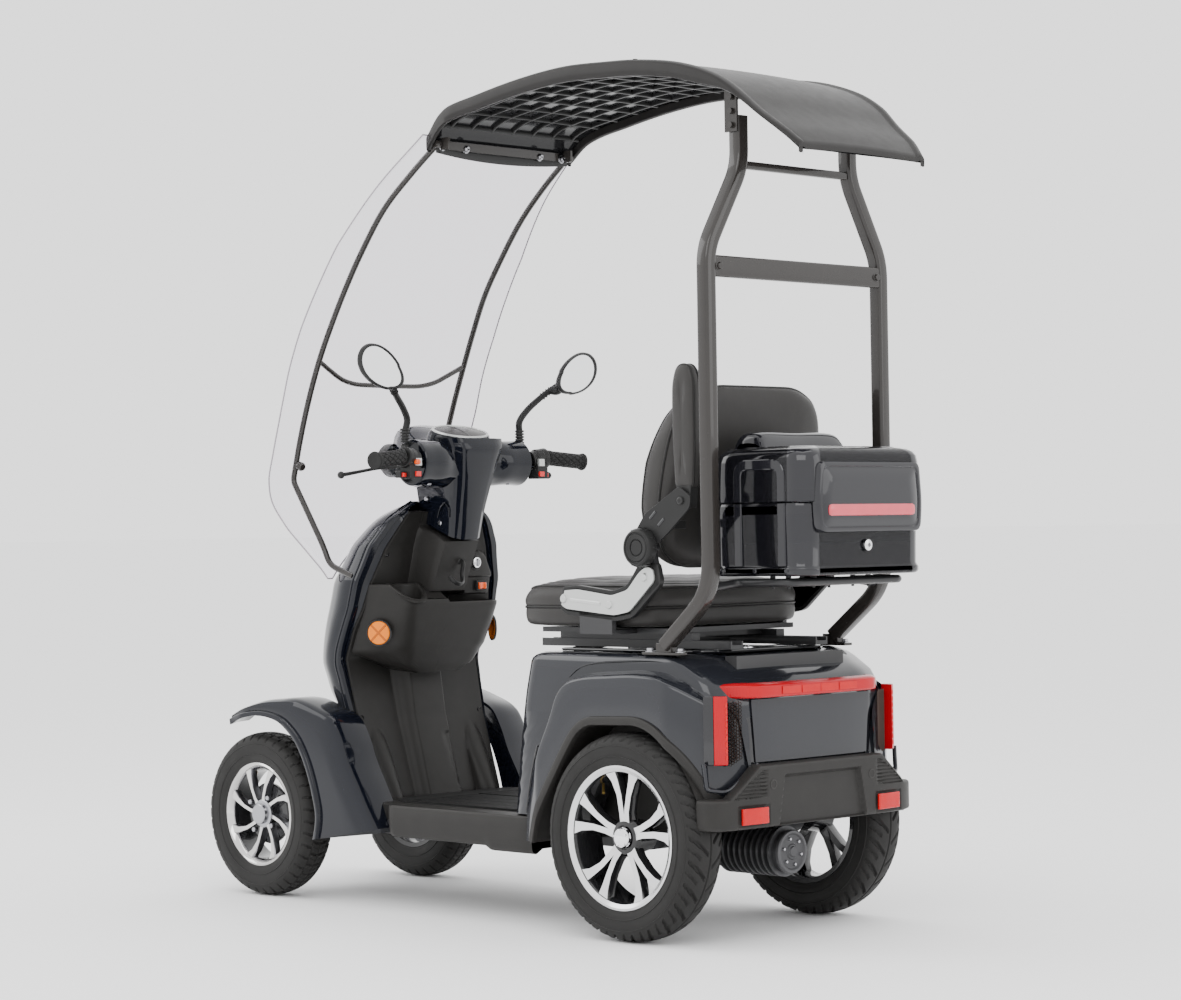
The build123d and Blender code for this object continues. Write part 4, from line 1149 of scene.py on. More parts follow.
POCKET_BACK = [(496, 866), (515, 855), (558, 835), (610, 815), (646, 804), (700, 804)]
POCKET_HALF = [(496, 64), (515, 98), (558, 120), (610, 128), (646, 132), (700, 132)]


def pocket_line(z, count=110):
    """The pocket's outside at a height, from the left wing round the back to the right wing."""
    back, half = along(POCKET_BACK, z), along(POCKET_HALF, z)
    t = min(1, (z - 496) / 48)
    end = Vector((870 + (along(WING, max(z, 544)) + 2 - 870) * t, 66 + 120 * t, z))
    corner = Vector((back, half, z))
    left = [end, end.lerp(corner, 0.5) + Vector((-5, 3, 0)) * t, corner, Vector((back - 2, 0, z))]
    line = left + [Vector((p.x, -p.y, p.z)) for p in left[::-1][1:]]
    round_by = 4 + 30 * t
    return spaced(rounded_line(line, [0, round_by, round_by, 60, round_by, round_by, 0], 8), count)


CUP = Vector((846, 108, 0))
CUP_SIDES = 64
# The cup holder's wall and lip: radius, and height against the sloping top.
CUP_RINGS = [(36.4, -4), (37, -1), (39, 1.8), (42, 2.6), (44.5, 1.8), (46, -0.2), (47.5, -0.8)]
CUP_FLOOR = 637


def inward(p, d, dz):
    """A point of the pocket's rim moved inwards by d and up by dz."""
    return Vector((p.x + d * (0.4 + 0.6 * min(1, (930 - p.x) / 90)),
                   p.y - math.copysign(d * 0.8, p.y) * min(abs(p.y) / 90, 1), p.z + dz))


def cup_holder(piece, pocket_rim):
    """The cup recess with its lip, and the sloping top from the lip out to the pocket's rim."""
    def ring(radius, height):
        turns = [2 * math.pi * k / CUP_SIDES for k in range(CUP_SIDES)]
        spots = [(CUP.x + radius * math.cos(turn), CUP.y + radius * math.sin(turn)) for turn in turns]
        return [(x, y, height(x)) for x, y in spots]

    rings = [ring(CUP_RINGS[0][0], lambda x: CUP_FLOOR)]
    rings += [ring(radius, lambda x: pocket_top(max(x, 800)) + lift) for radius, lift in CUP_RINGS]
    piece.grid(rings, closed=True)
    piece.fan(rings[0])
    left_rim = [inward(p, 6.5, 0) for p in pocket_rim if p.y > 18]
    front_limit = along(WING, 690) + 4
    near, middle, far = [], [], []
    for x, y, z in rings[-1]:
        turn = math.atan2(y - CUP.y, x - CUP.x)
        start = Vector((x, y, 0))
        goal = Vector((CUP.x + 150 * math.cos(turn), CUP.y + 150 * math.sin(turn), 0))
        best = start
        for step in range(1, 41):
            p = start.lerp(goal, step / 40)
            rear = min(left_rim, key=lambda q: abs(q.y - p.y))
            if p.y < 19 or p.x > front_limit or p.x < rear.x or p.y > 172 - max(0, 890 - p.x) * 0.48:
                break
            best = p
        near.append(Vector((x, y, z)))
        far.append(Vector((best.x, best.y, pocket_top(best.x))))
        half_way = near[-1].lerp(far[-1], 0.5)
        middle.append((half_way.x, half_way.y, pocket_top(half_way.x)))
    piece.grid([near, middle, far], closed=True)


def storage_pocket():
    piece = Piece("storage_pocket_shell", MATTE)
    count = 150
    rim = pocket_line(650, count)
    tops = []
    for p in rim:
        t = ease((p.y - 14) / 7)
        tops.append(650 + (pocket_top(p.x + 3) - 650) * t)
    rows = []
    for k in range(31):
        t = k / 30
        cache = {}
        row = []
        for i in range(count):
            z = 496.2 + (tops[i] - 496.2) * t
            level = round(z)
            if level not in cache:
                cache[level] = pocket_line(level, count)
            q = cache[level][i]
            row.append(Vector((q.x, q.y, z)))
        rows.append(row)
    for side in (0, -1):
        edge = [row[side] for row in rows if row[side].z < 546]
        piece.grid([edge, [Vector((along(WING, p.z) + 8, p.y, p.z + 6)) for p in edge]])
    rows.insert(0, [Vector((908, p.y, 500)) for p in rows[0]])

    last = rows[-1]
    rows.append([inward(p, 1.2, 1.6) for p in last])
    rows.append([inward(p, 3.5, 2.2) for p in last])
    rows.append([inward(p, 6, 1.2) for p in last])
    rows.append([inward(p, 7, -2.5) for p in last])
    piece.grid(rows)
    floor_rows = []
    right = [p for p in last if p.y < 16]
    for dz, d in ((-2.5, 7), (-40, 24), (-90, 50)):
        floor_rows.append([inward(p, d, dz) for p in right])
    piece.grid(floor_rows)
    piece.grid([[Vector((806, 17, 654)), Vector((880, 17, 690))],
                [Vector((860, 17, 560)), Vector((930, 17, 560))]])

    cup_holder(piece, last)
    return piece.make("chassis", ["storage_pocket"], sharp=36, outward=False)


COWL_FACE = [(236, 966), (330, 972), (398, 1012), (452, 1070), (520, 1096), (600, 1092), (700, 1065),
             (790, 1010), (850, 945), (874, 890)]
COWL_HALF = [(236, 190), (320, 194), (400, 200), (480, 209), (560, 217), (640, 220), (700, 217), (780, 192),
             (830, 160), (862, 120), (880, 92)]


KEEL = [(1045, 238), (1205, 238), (1214, 300), (1158, 378), (1066, 440), (1010, 402)]


def cowl_ring(z, inset=0):
    """The left half of the cowl's outline at a height, from its rear edge to the middle of its face."""
    rear = along(WING, z) + 7
    front = along(COWL_FACE, z) - inset
    half = along(COWL_HALF, z) - inset
    deep = front - rear
    return rounded_line([(rear, half - 3, z), (rear + deep * 0.25, half, z),
                         (front - deep * 0.36, half * 0.86, z), (front - deep * 0.06, half * 0.42, z),
                         (front, 0, z)], [0, 60, 70, 70, 0], 7)


def front_cowl():
    piece = Piece("front_cowl_shell", GLOSS_FRONT)
    levels = [236, 250, 275, 300, 330, 360, 385, 410, 435, 460, 490, 520, 550, 580, 610, 640, 670, 700, 730,
              755, 780, 800, 820, 838, 852, 862, 870, 875]
    rows = [spaced(cowl_ring(z, max(0, (z - 845) * 0.5)), 40) for z in levels]
    columns = [smooth_line(c, 70) for c in zip(*rows)]
    rows = [list(r) for r in zip(*columns)]
    piece.grid(rows)
    edge = [row[0] for row in rows]
    rim = []
    for p in edge:
        inner = Vector((along(WING, p.z) - 3, min(along(SHIELD_HALF, p.z) + 5, p.y - 9), p.z))
        lip = p + Vector((-5.5, -4, 0))
        fold = lip.lerp(inner, 0.45)
        rim.append([p, p + Vector((-3, -1.2, 0)), lip, fold + Vector((1, 0, 0)), fold + Vector((5, -1, 0)),
                    fold + Vector((4, -4, 0)), inner + Vector((-2, 3, 0)), inner,
                    inner + Vector((12, -3, 0))])
    piece.grid(rim)
    piece.sweep([p + Vector((9, 0.6, 0)) for p in edge[4:]], ellipse(2.2, 2.2, 8))
    keel = []
    for y, grow in ((48, 6), (47, 2), (42, 0), (0, -4)):
        keel.append([(x - (grow if x > 1100 else 0), y, z - (grow * 0.5 if z > 350 else 0)) for x,
                     z in KEEL])
    piece.grid(keel)
    piece.fan(keel[0])
    piece.mirrored()
    return piece.make("chassis", ["front_cowl"], sharp=34, outward=False)


SLATS, SLAT_LOW, SLAT_STEP = 5, 560, 14


def cowl_panel():
    """The raised slats across the front of the cowl."""
    piece = Piece("cowl_grille", SATIN)
    for k in range(SLATS):
        z = SLAT_LOW + k * SLAT_STEP
        x = along(COWL_FACE, z) + 1.5
        piece.sweep([(x - (y / 70) ** 2 * 12, y, z) for y in (-70, -45, -20, 0, 20, 45, 70)],
                    rounded_rectangle(5, 5, 2))
    return piece.make("chassis")


FENDER = [(1252, 403), (1226, 414), (1200, 422), (1138, 436), (1084, 441), (1030, 443), (960, 426),
          (900, 402), (870, 360), (847, 310), (818, 262), (790, 215), (762, 172)]
FENDER_LIP = [(1248, 381), (1222, 391), (1190, 399), (1139, 404), (1079, 394), (1046, 375), (1018, 350),
              (992, 312), (972, 268), (958, 224), (952, 196), (954, 168), (962, 140)]


def front_fenders():
    piece = Piece("front_fender_shells", GLOSS_FRONT)
    top = smooth_line([(x, 0, z) for x, z in FENDER], 64)
    lip = smooth_line([(x, 0, z) for x, z in FENDER_LIP], 64)
    rows = []
    for a, b in zip(top, lip):
        behind_tip = ease((1252 - a.x) / 60)
        wide = 276 + 5 * behind_tip
        root = 196 + 30 * ease((a.x - 1090) / 70)
        under = 8 + 10 * (1 - behind_tip)
        rim = 13 / max(13, (b - a).length)
        side = [(0.03, wide - 5), (0.12, wide), (0.5, wide + 1.5), (1 - rim * 1.15, wide + 0.5),
                (1 - rim, wide + 7), (1 - rim * 0.9, wide + 8), (0.97, wide + 8)]
        row = [(a.x, root, a.z + 1), (a.x, root + 16, a.z + 3), (a.x, wide - 16, a.z + 2)]
        row += [(a.x + (b.x - a.x) * t, y, a.z + (b.z - a.z) * t) for t, y in side]
        row += [(b.x, wide + 6, b.z), (b.x - 2, wide - 6, b.z + 3), (a.x, 262, a.z - under),
                (a.x, root, a.z - under + 2)]
        rows.append(row)
    piece.grid(rows, closed=True, ends=True)
    piece.mirrored()
    return piece.make("chassis", ["front_fenders"], sharp=40)


PAN_PLAN = [(856, 0), (856, 184), (812, 226), (757, 238), (741, 262), (330, 264), (300, 262)]
PAN_TOP, PAN_UNDER = 226.2, 158
MAT_RIBS, MAT_PITCH = 66, 5.4


def floor_pan():
    piece = Piece("floor_sill", MATTE)
    plan = [(x, y, 0) for x, y in PAN_PLAN]
    path = spaced(rounded_line(plan, [0, 20, 20, 26, 26, 10, 0], 6), 120)
    rows = []
    for i, p in enumerate(path):
        deeper = ease((446 - p.x) / 24) * 9
        section = [(-40, 226.3), (-9, 226.5), (-3, 225.5), (0, 222), (0.5, 196), (-0.5, 180),
                   (-3, 166 - deeper), (-7, 159 - deeper), (-16, 157 - deeper), (-40, 160)]
        q, r = path[max(i - 1, 0)], path[min(i + 1, len(path) - 1)]
        way = (r - q).normalized()
        out = Vector((way.y, -way.x, 0))
        rows.append([Vector((p.x, p.y, 0)) + out * a + Vector((0, 0, z)) for a, z in section])
    piece.grid(rows)
    for z, half in ((PAN_TOP, 256), (PAN_UNDER, 252)):
        piece.fan([(850, 180, z), (808, 220, z), (752, 232, z), (738, half, z), (300, half, z), (300, 0, z),
                   (850, 0, z)])
    piece.paint(STEEL)
    piece.lathe([(0.2, 2.6), (4, 2.4), (5.6, 0.8), (5.8, -1)], (764, 236.5, 187), (0.25, 1, 0), 20, False)
    piece.mirrored()
    piece.make("chassis", ["floor_pan"], sharp=36, outward=False)


def floor_mat():
    mat = Piece("floor_mat_ribs", MAT_RUBBER)
    for k in range(MAT_RIBS):
        x = 392 + k * MAT_PITCH
        reach = 206 if x < 735 else 206 - (x - 735) * 0.9
        for s in (1, -1):
            for n in range(4):
                near, far = s * (8 + n * (reach - 8) / 4 + 1.4), s * (8 + (n + 1) * (reach - 8) / 4 - 1.4)
                mat.box((x, min(near, far), 228.6), (x + 3.0, max(near, far), 230.8))
    outline = [(386, 212), (744, 212), (792, 188), (830, 118)]
    ring = closed_round([(x, y, 0) for x, y in outline] + [(x, -y, 0) for x, y in outline[::-1]], 12, 4)
    top = [(p.x * 0.995 + 3, p.y * 0.99, 228.9) for p in ring]
    mat.grid([[(p.x, p.y, z) for p in ring] for z in (PAN_TOP, 228.2)] + [top], closed=True)
    mat.fan(top)
    mat.make("chassis", ["floor_mat"])


# Seat ----------------------------------------------------------------------------------------

def closed_loop(corners, radius, count):
    """Evenly spaced points round a closed outline of (a, b) corners with rounded corners."""
    points = [Vector((a, b, 0)) for a, b in corners]
    start = points[0].lerp(points[1], 0.5)
    line = spaced(rounded_line([start] + points[1:] + [points[0], start], radius, 8), count + 1)
    return [(p.x, p.y) for p in line[:-1]]


def both_sides(half):
    """A closed outline of (across, up) corners from its right half, listed from the bottom up."""
    return half + [(-a, b) for a, b in reversed(half)]


def pad_rows(loop, half, levels, at):
    """Rings of a stuffed form of two half widths: each level is (inset from the outline, height)."""
    mid_a, mid_b = (sum(p[i] for p in loop) / len(loop) for i in (0, 1))
    rows = []
    for inset, height in levels:
        in_a, in_b = (max(1 - inset / h, 0.02) for h in half)
        rows.append([at(mid_a + (a - mid_a) * in_a, mid_b + (b - mid_b) * in_b, height) for a, b in loop])
    return rows


def make_pad(name, body, rows, piping, nodes=()):
    """A stuffed cover over rings of points, with piping cords along (ring, radius) lines."""
    pad = Piece(name, LEATHER)
    pad.grid(rows, closed=True, ends=True)
    obj = pad.make(body, nodes, sharp=180)
    add_subdivision(obj, 1)
    cords = Piece(name + "_piping", PIPING)
    for ring, radius in piping:
        points = [Vector(p) for p in ring]
        cords.sweep(points + points[:2], ellipse(radius, radius, 8), up=(0.1, 0.2, 0.97))
    cord = cords.make(body, sharp=180)
    return obj, cord


def seat_cushion():
    loop = closed_loop([(392, -140), (392, 140), (366, 214), (300, 229), (30, 230), (-14, 212), (-30, 160),
                        (-30, -160), (-14, -212), (30, -230), (300, -229), (366, -214)],
                       [0] + [46] * 12 + [0], 150)

    def at(x, y, z):
        lift = ease((z - 690) / 16)
        fall = 20 * ease((x - 310) / 80) + 5 * ease((40 - x) / 60)
        dish = 5 * math.exp(-((x - 150) / 90) ** 2 - (y / 95) ** 2)
        swell = 1.6 * math.sin(x * 0.043 + y * 0.021) * math.sin(y * 0.037 + 1.3)
        return Vector((x, y, z - (fall + dish - swell) * lift
                       - fall * 0.6 * ease((z - 640) / 50) * (1 - lift)))

    levels = [(204, 611), (120, 611), (40, 611), (10, 612.5), (3, 618), (0.5, 628), (0, 640), (0.6, 648),
              (3.2, 651), (0.6, 654), (-1.2, 664), (-0.6, 674), (3, 684), (8, 691), (12, 692.5), (14, 692),
              (18, 696.5), (24, 699), (27.5, 699.4), (29.5, 696), (31.5, 699.8), (36, 702), (41, 702.5),
              (43, 699), (45, 702.8), (56, 705), (72, 706.5), (75, 702.6), (78, 707), (96, 709.5),
              (122, 711), (150, 712), (180, 712.5), (205, 712.6)]
    half = (211, 230)
    rows = pad_rows(loop, half, levels, at)
    make_pad("seat_cushion_pad", "seat", rows, [(pad_rows(loop, half, [(1.2, 651)], at)[0], 3.0),
                                                (pad_rows(loop, half, [(11, 693)], at)[0], 2.6)],
             ["seat_cushion"])


BACK_FRONT = [(728, 20), (850, 22), (935, 6), (1024, -36), (1090, -70)]
BACK_REAR = [(728, -44), (840, -66), (950, -92), (1060, -108), (1090, -108)]


HINGE_X, HINGE_Z = -35, 770


def backrest():
    half_line = [(150, 730), (203, 762), (222, 860), (221, 985), (200, 1052), (130, 1087)]
    loop = closed_loop(both_sides(half_line)[-1:] + both_sides(half_line)[:-1],
                       [0] + [50, 50, 80, 80, 70, 60, 60, 70, 80, 80, 50, 50] + [0], 150)
    half = (222, 178)

    def at(y, z, s):
        front, rear = along(BACK_FRONT, z), along(BACK_REAR, z)
        middle, deep = (front + rear) / 2, (front - rear) / 2
        wrap = 12 * (y / 222) ** 2 * (1 if s > 0 else 0.8)
        lumbar = 7 * math.exp(-((z - 830) / 55) ** 2) * (s > 0.9) * (1 - (y / 222) ** 2)
        return Vector((middle + deep * s + wrap + lumbar, y, z))

    levels = [(174, -1.02), (110, -1.02), (50, -1.0), (24, -0.97), (11, -0.88), (4, -0.70), (1, -0.50),
              (0, -0.42), (3, -0.38), (0, -0.34), (-1, -0.1), (-0.5, 0.25), (2, 0.5), (7, 0.72), (10, 0.74),
              (14, 0.80), (22, 0.93), (34, 1.0), (38, 0.99), (40.5, 0.90), (43, 1.0), (62, 1.06),
              (92, 1.10), (95, 1.02), (98, 1.10), (130, 1.13), (176, 1.15)]
    rows = pad_rows(loop, half, levels, at)
    make_pad("backrest_pad", "backrest", rows, [(pad_rows(loop, half, [(0.6, -0.38)], at)[0], 3.2),
                                                (pad_rows(loop, half, [(8.6, 0.75)], at)[0], 2.6)],
             ["backrest"])
    hinge = Piece("backrest_hinges", SATIN)
    centre = (HINGE_X, 268, HINGE_Z)
    hinge.lathe([(0.3, 20), (14, 20), (15, 17.5), (16.5, 17.5), (17.5, 20.5), (26, 21.5), (28, 19),
                 (29.5, 19), (31, 22), (35, 20.5), (38, 15), (38.5, 2), (36, 0), (0.3, 0)], centre,
                (0, 1, 0), 64, False)
    for k in range(12):
        a = math.radians(30 * k)
        p = Vector((HINGE_X + 38.5 * math.cos(a), 0, HINGE_Z + 38.5 * math.sin(a)))
        hinge.box((p.x - 1.5, 271, p.z - 1.5), (p.x + 1.5, 281, p.z + 1.5), Matrix.Rotation(-a, 3, "Y"))
    hinge.lathe([(0.3, 5.4), (32, 5.4), (32, -0.1), (0.3, -0.1)], (HINGE_X, 262.5, HINGE_Z), (0, 1, 0), 48,
                False)
    cover = rounded_line([(-58, 0, 768), (-104, 0, 800), (-160, 0, 846), (-163, 0, 868), (-132, 0, 888),
                          (-40, 0, 836), (-6, 0, 792), (-8, 0, 760), (-58, 0, 768)], 9, 4)
    hinge.plate([(p.x, p.z) for p in cover[:-1]], 263, 268)
    hinge.box((-92, 206, 806), (-66, 267, 822))
    hinge.paint(GLOSS_BLACK)
    for dx, dz in ((0, 0), (22, 14)):
        slot = [Vector((-92 + dx, 268.3, 826 + dz)), Vector((-76 + dx, 268.3, 812 + dz))]
        hinge.sweep(spaced(slot, 6), ellipse(3.2, 1.2, 10), up=(0, 1, 0))
    hinge.mirrored()
    hinge.make("backrest", bevel=0.8)


ARM_X, ARM_Z = -137, 860


def armrest(label, turn, sign):
    """An armrest's pad and pivot, drawn upright and turned down about the pivot by an angle."""
    def world(x, y, z):
        p = Matrix.Rotation(turn, 3, "Y") @ Vector((x - ARM_X, y, z - ARM_Z))
        return Vector((p.x + ARM_X, sign * y, p.z + ARM_Z))

    loop = closed_loop([(-160, 884), (-114, 884), (-109, 990), (-110, 1090), (-122, 1124), (-154, 1124),
                        (-166, 1090), (-166, 960)], [0, 18, 60, 40, 16, 16, 40, 60, 18, 0], 110)
    half = (28, 121)

    def at(a, b, y):
        bow = (1.5 if y > 245 else -1.5) * math.cos((b - 1004) / 78)
        return world(a, y + bow, b)

    levels = [(27, 228.6), (14, 228.8), (6, 230), (2, 233), (0, 238), (1.8, 240), (0, 242), (-0.6, 247),
              (0, 253), (1.8, 255), (0, 256), (2, 259), (6, 261), (14, 262), (27, 262.2)]
    rows = pad_rows(loop, half, levels, at)
    make_pad(f"armrest_pad_{label}", f"armrest_{label}", rows,
             [(pad_rows(loop, half, [(0.4, 240)], at)[0], 1.9),
              (pad_rows(loop, half, [(0.4, 255)], at)[0], 1.9)], [f"armrest_{label}"])
    neck = Piece(f"armrest_pivot_{label}", SATIN)
    sides = ((-152, 846), (-122, 846), (-117, 892), (-157, 892))
    body = [world(x, y, z) for y in (237, 260) for x, z in sides]
    neck.add(body, [(0, 1, 2, 3), (7, 6, 5, 4), (0, 4, 5, 1), (1, 5, 6, 2), (2, 6, 7, 3), (3, 7, 4, 0)])
    neck.lathe([(0.3, 16), (5, 16), (8, 13), (8, -2), (0.3, -2)], (ARM_X, sign * 258, ARM_Z), (0, sign, 0),
               24, False)
    neck.make(f"armrest_{label}", bevel=2.5)


def side_plate(piece, corners, radius, steps, low, high):
    """A plate with rounded (x, z) corners between two values of y."""
    line = closed_round([(x, 0, z) for x, z in corners], radius, steps)
    piece.plate([(p.x, p.z) for p in line], low, high)


def seat_brackets():
    dark = Piece("seat_bracket_cover", SATIN)
    cover = [(214, 655), (206, 692), (153, 696), (57, 685), (16, 697), (-18, 742), (-66, 742), (-76, 700),
             (4, 632), (48, 625), (190, 637)]
    side_plate(dark, cover, 12, 4, 250, 262)
    dark.mirrored()
    dark.make("seat", bevel=1.5)
    piece = Piece("seat_bracket_plate", SILVER_PAINT)
    arm = [(205, 662), (197, 685), (153, 688), (57, 676), (13, 687), (-20, 722), (-40, 733), (-56, 729),
           (-61, 706), (9, 644), (50, 637), (186, 649)]
    side_plate(piece, arm, 9, 5, 261, 266)
    piece.sweep(spaced([Vector((172, 266, 667)), Vector((88, 266, 660))], 8), ellipse(4.2, 1.6, 10),
                up=(0, 1, 0))
    for x, z in ((190, 669), (62, 658), (-34, 712)):
        piece.lathe([(0.3, 4.2), (6.5, 4.2), (8, 2.8), (8.6, 0), (9.5, 0.6), (10, -0.5)], (x, 266, z),
                    (0, 1, 0), 28, False)
    piece.mirrored()
    piece.make("seat", bevel=1.4)


# Luggage box ---------------------------------------------------------------------------------

BOX_PLAN = [(-120, 146), (-150, 181), (-350, 181), (-375, 158)]


def plan_ring(corners, inset, z, count=96):
    """A ring of the box or lid at a height, from the (x, y) corners of its left half."""
    half = list(corners)
    loop = closed_loop(half[::-1] + [(x, -y) for x, y in half], [0] + [20] * (2 * len(half)) + [0], count)
    mid = (max(x for x, _ in corners) + min(x for x, _ in corners)) / 2
    long, wide = (max(x for x, _ in corners) - min(x for x, _ in corners)) / 2, max(y for _, y in corners)
    return [(mid + (x - mid) * (1 - inset / long), y * (1 - inset / wide), z) for x, y in loop]


RIB = [(-11, -2), (-10, 2.5), (-8, 4), (8, 4), (10, 2.5), (11, -2)]
RIB_X = (-318, -207)


def luggage_box():
    piece = Piece("luggage_box_shell", GLOSS_BOX)
    levels = [(12, 716), (10, 712), (3, 712), (0, 714), (-2, 718), (-2, 726), (0, 729), (1.5, 733),
              (1, 780), (0, 830), (0, 846), (1.5, 851.5), (5, 851.5), (5, 800), (5, 722)]
    rows = [plan_ring(BOX_PLAN, inset, z) for inset, z in levels]
    piece.grid(rows, closed=True).fan(rows[0]).fan(rows[-1])
    for x in RIB_X:
        piece.sweep([(x, 180, 731 + 12 * k) for k in range(11)], RIB, up=(0, 1, 0))
    for x in (-330, -250, -170):
        piece.lathe([(0.3, 3), (3.5, 3), (5, 1), (5, -2)], (x, 183, 722), (0, 1, 0), 16, False)
    piece.box((-126, 60, 812), (-120, 110, 950))
    piece.lathe([(0.3, 0), (5, 0), (5, 54), (0.3, 54)], (-123, 58, 955), (0, 1, 0), 20, False)
    piece.mirrored()
    piece.paint(CHROME)
    piece.lathe([(4, 4), (8, 4), (11, 2), (11.5, -3), (9, -3), (4, 3)], (-380, 0, 769), (-1, 0, 0), 36)
    piece.paint(STEEL).box((-383.2, -1.2, 765), (-382, 1.2, 773))
    piece.make("chassis", ["luggage_box"], bevel=0.6, sharp=35)


def luggage_rack():
    rack = Piece("luggage_rack_tubes", FRAME_PAINT)
    line = rounded_line([(-192, 246, 690), (-192, 170, 699), (-327, 168, 700), (-327, -168, 700),
                         (-192, -170, 699), (-192, -246, 690)], 24, 8)
    rack.tube(spaced(line, 120), 8, 16)
    for x in (-240, -280):
        rack.tube([(x, -164 + 8 * k, 700) for k in range(42)], 6, 12)
        for y in (-120, 0, 120):
            rack.lathe([(0.3, 11.5), (5.5, 11.5), (5.5, -7), (3, -7), (3, -14), (0.3, -14)], (x, y, 700),
                       (0, 0, 1), 16, False)
    rack.make("chassis", ["luggage_rack"])


LID_PLAN = [(-128, 148), (-152, 182), (-356, 182), (-382, 158)]


def luggage_lid():
    piece = Piece("luggage_lid_shell", GLOSS_BOX)
    levels = [(6, 856), (6, 853), (2, 852.8), (0, 855), (-0.5, 866), (0, 900), (1, 930), (3, 943), (8, 951),
              (16, 956), (30, 959), (34, 959.2), (37, 961), (60, 962), (100, 962.5), (120, 962.6)]
    rows = [plan_ring(LID_PLAN, inset, z) for inset, z in levels]
    piece.grid(rows, closed=True).fan(rows[-1]).fan(rows[0])
    corners = [(RIB_X[0], 855), (RIB_X[0], 926), (RIB_X[1], 926), (RIB_X[1], 855)]
    line = rounded_line([(x, 180, z) for x, z in corners], 24, 6)
    piece.sweep(spaced(line, 50), RIB, up=(0, 1, 0))
    piece.mirrored()
    ring = closed_loop([(-152, 794), (152, 794), (158, 850), (150, 930), (-150, 930), (-158, 850)],
                       [0, 16, 40, 14, 14, 40, 16, 0], 110)
    panel = []
    for x, inset in ((-376, 0), (-386, 0), (-390, 1.5), (-391.4, 4), (-391.6, 9), (-389.6, 11),
                     (-389.6, 14), (-391.4, 17), (-391.6, 40), (-391.6, 66)):
        panel.append([(x, a * (1 - inset / 156), 862 + (b - 862) * (1 - inset / 69)) for a, b in ring])
    piece.grid(panel, closed=True).fan(panel[-1])
    ridge = []
    for y, drop in ((-124, 22), (-121, 8), (-112, 2), (0, 0), (112, 2), (121, 8), (124, 22)):
        ridge.append([(-146, y, 958), (-152, y, 980 - drop), (-163, y, 990 - drop), (-186, y, 992.5 - drop),
                      (-206, y, 989 - drop), (-218, y, 974 - drop * 0.6), (-226, y, 958)])
    piece.loft(ridge, 26, 60)
    piece.paint(RED_STRIP)
    bar = closed_loop([(-129, 826), (129, 826), (129, 848), (-129, 848)], [0, 7, 7, 7, 7, 0], 90)
    strip = [[(x, a * k, 837 + (b - 837) * m) for a, b in bar] for x, k,
             m in ((-389, 1, 1), (-393.4, 1, 1), (-395, 0.992, 0.88), (-395.6, 0.985, 0.7))]
    piece.grid(strip, closed=True).fan(strip[-1])
    piece.make("lid", ["luggage_lid"], sharp=32)


# Canopy --------------------------------------------------------------------------------------

def posts():
    piece = Piece("canopy_posts", POST)
    path = rounded_line([(-78, 252, 580), (-205, 259, 684), (-205, 259, 1342), (-208, 163, 1505),
                         (-208, 163, 1604)], [0, 55, 34, 34, 0], 12)
    piece.sweep(path, rounded_rectangle(30, 30, 7, 4), up=(0, 1, 0))
    piece.box((-118, 236, 560.5), (-20, 261, 566)).box((-96, 240, 566), (-56, 259, 584))
    piece.paint(STEEL)
    for x in (-110, -30):
        piece.lathe([(0.3, 8), (6.5, 8), (7, 7), (7, 2), (9.5, 1.6), (9.5, -0.5)], (x, 248, 566), (0, 0, 1),
                    6, False)
    piece.mirrored()
    piece.make("chassis", ["canopy_post_left", "canopy_post_right"], bevel=1.0)
    bars = Piece("crossbar_tubes", POST)
    for z, half, height in ((1309, 246, 42), (1509, 150, 16)):
        bars.sweep([(-211, y * half / 10, z) for y in range(-10, 11)], rounded_rectangle(14, height, 4, 3))
    for y, z in ((236, 1309), (-236, 1309)):
        bars.lathe([(0.3, 5), (6, 5), (7, 3), (7, 0), (9, -0.5)], (-219, y, z), (-1, 0, 0), 20, False)
    bars.make("chassis", ["canopy_crossbars"], bevel=0.6)


ROOF_LINE = [(636, 1650), (581, 1694), (464, 1718), (328, 1737), (208, 1745), (100, 1741), (4, 1734),
             (-107, 1715), (-197, 1684), (-250, 1652), (-302, 1606), (-354, 1565), (-384, 1535)]


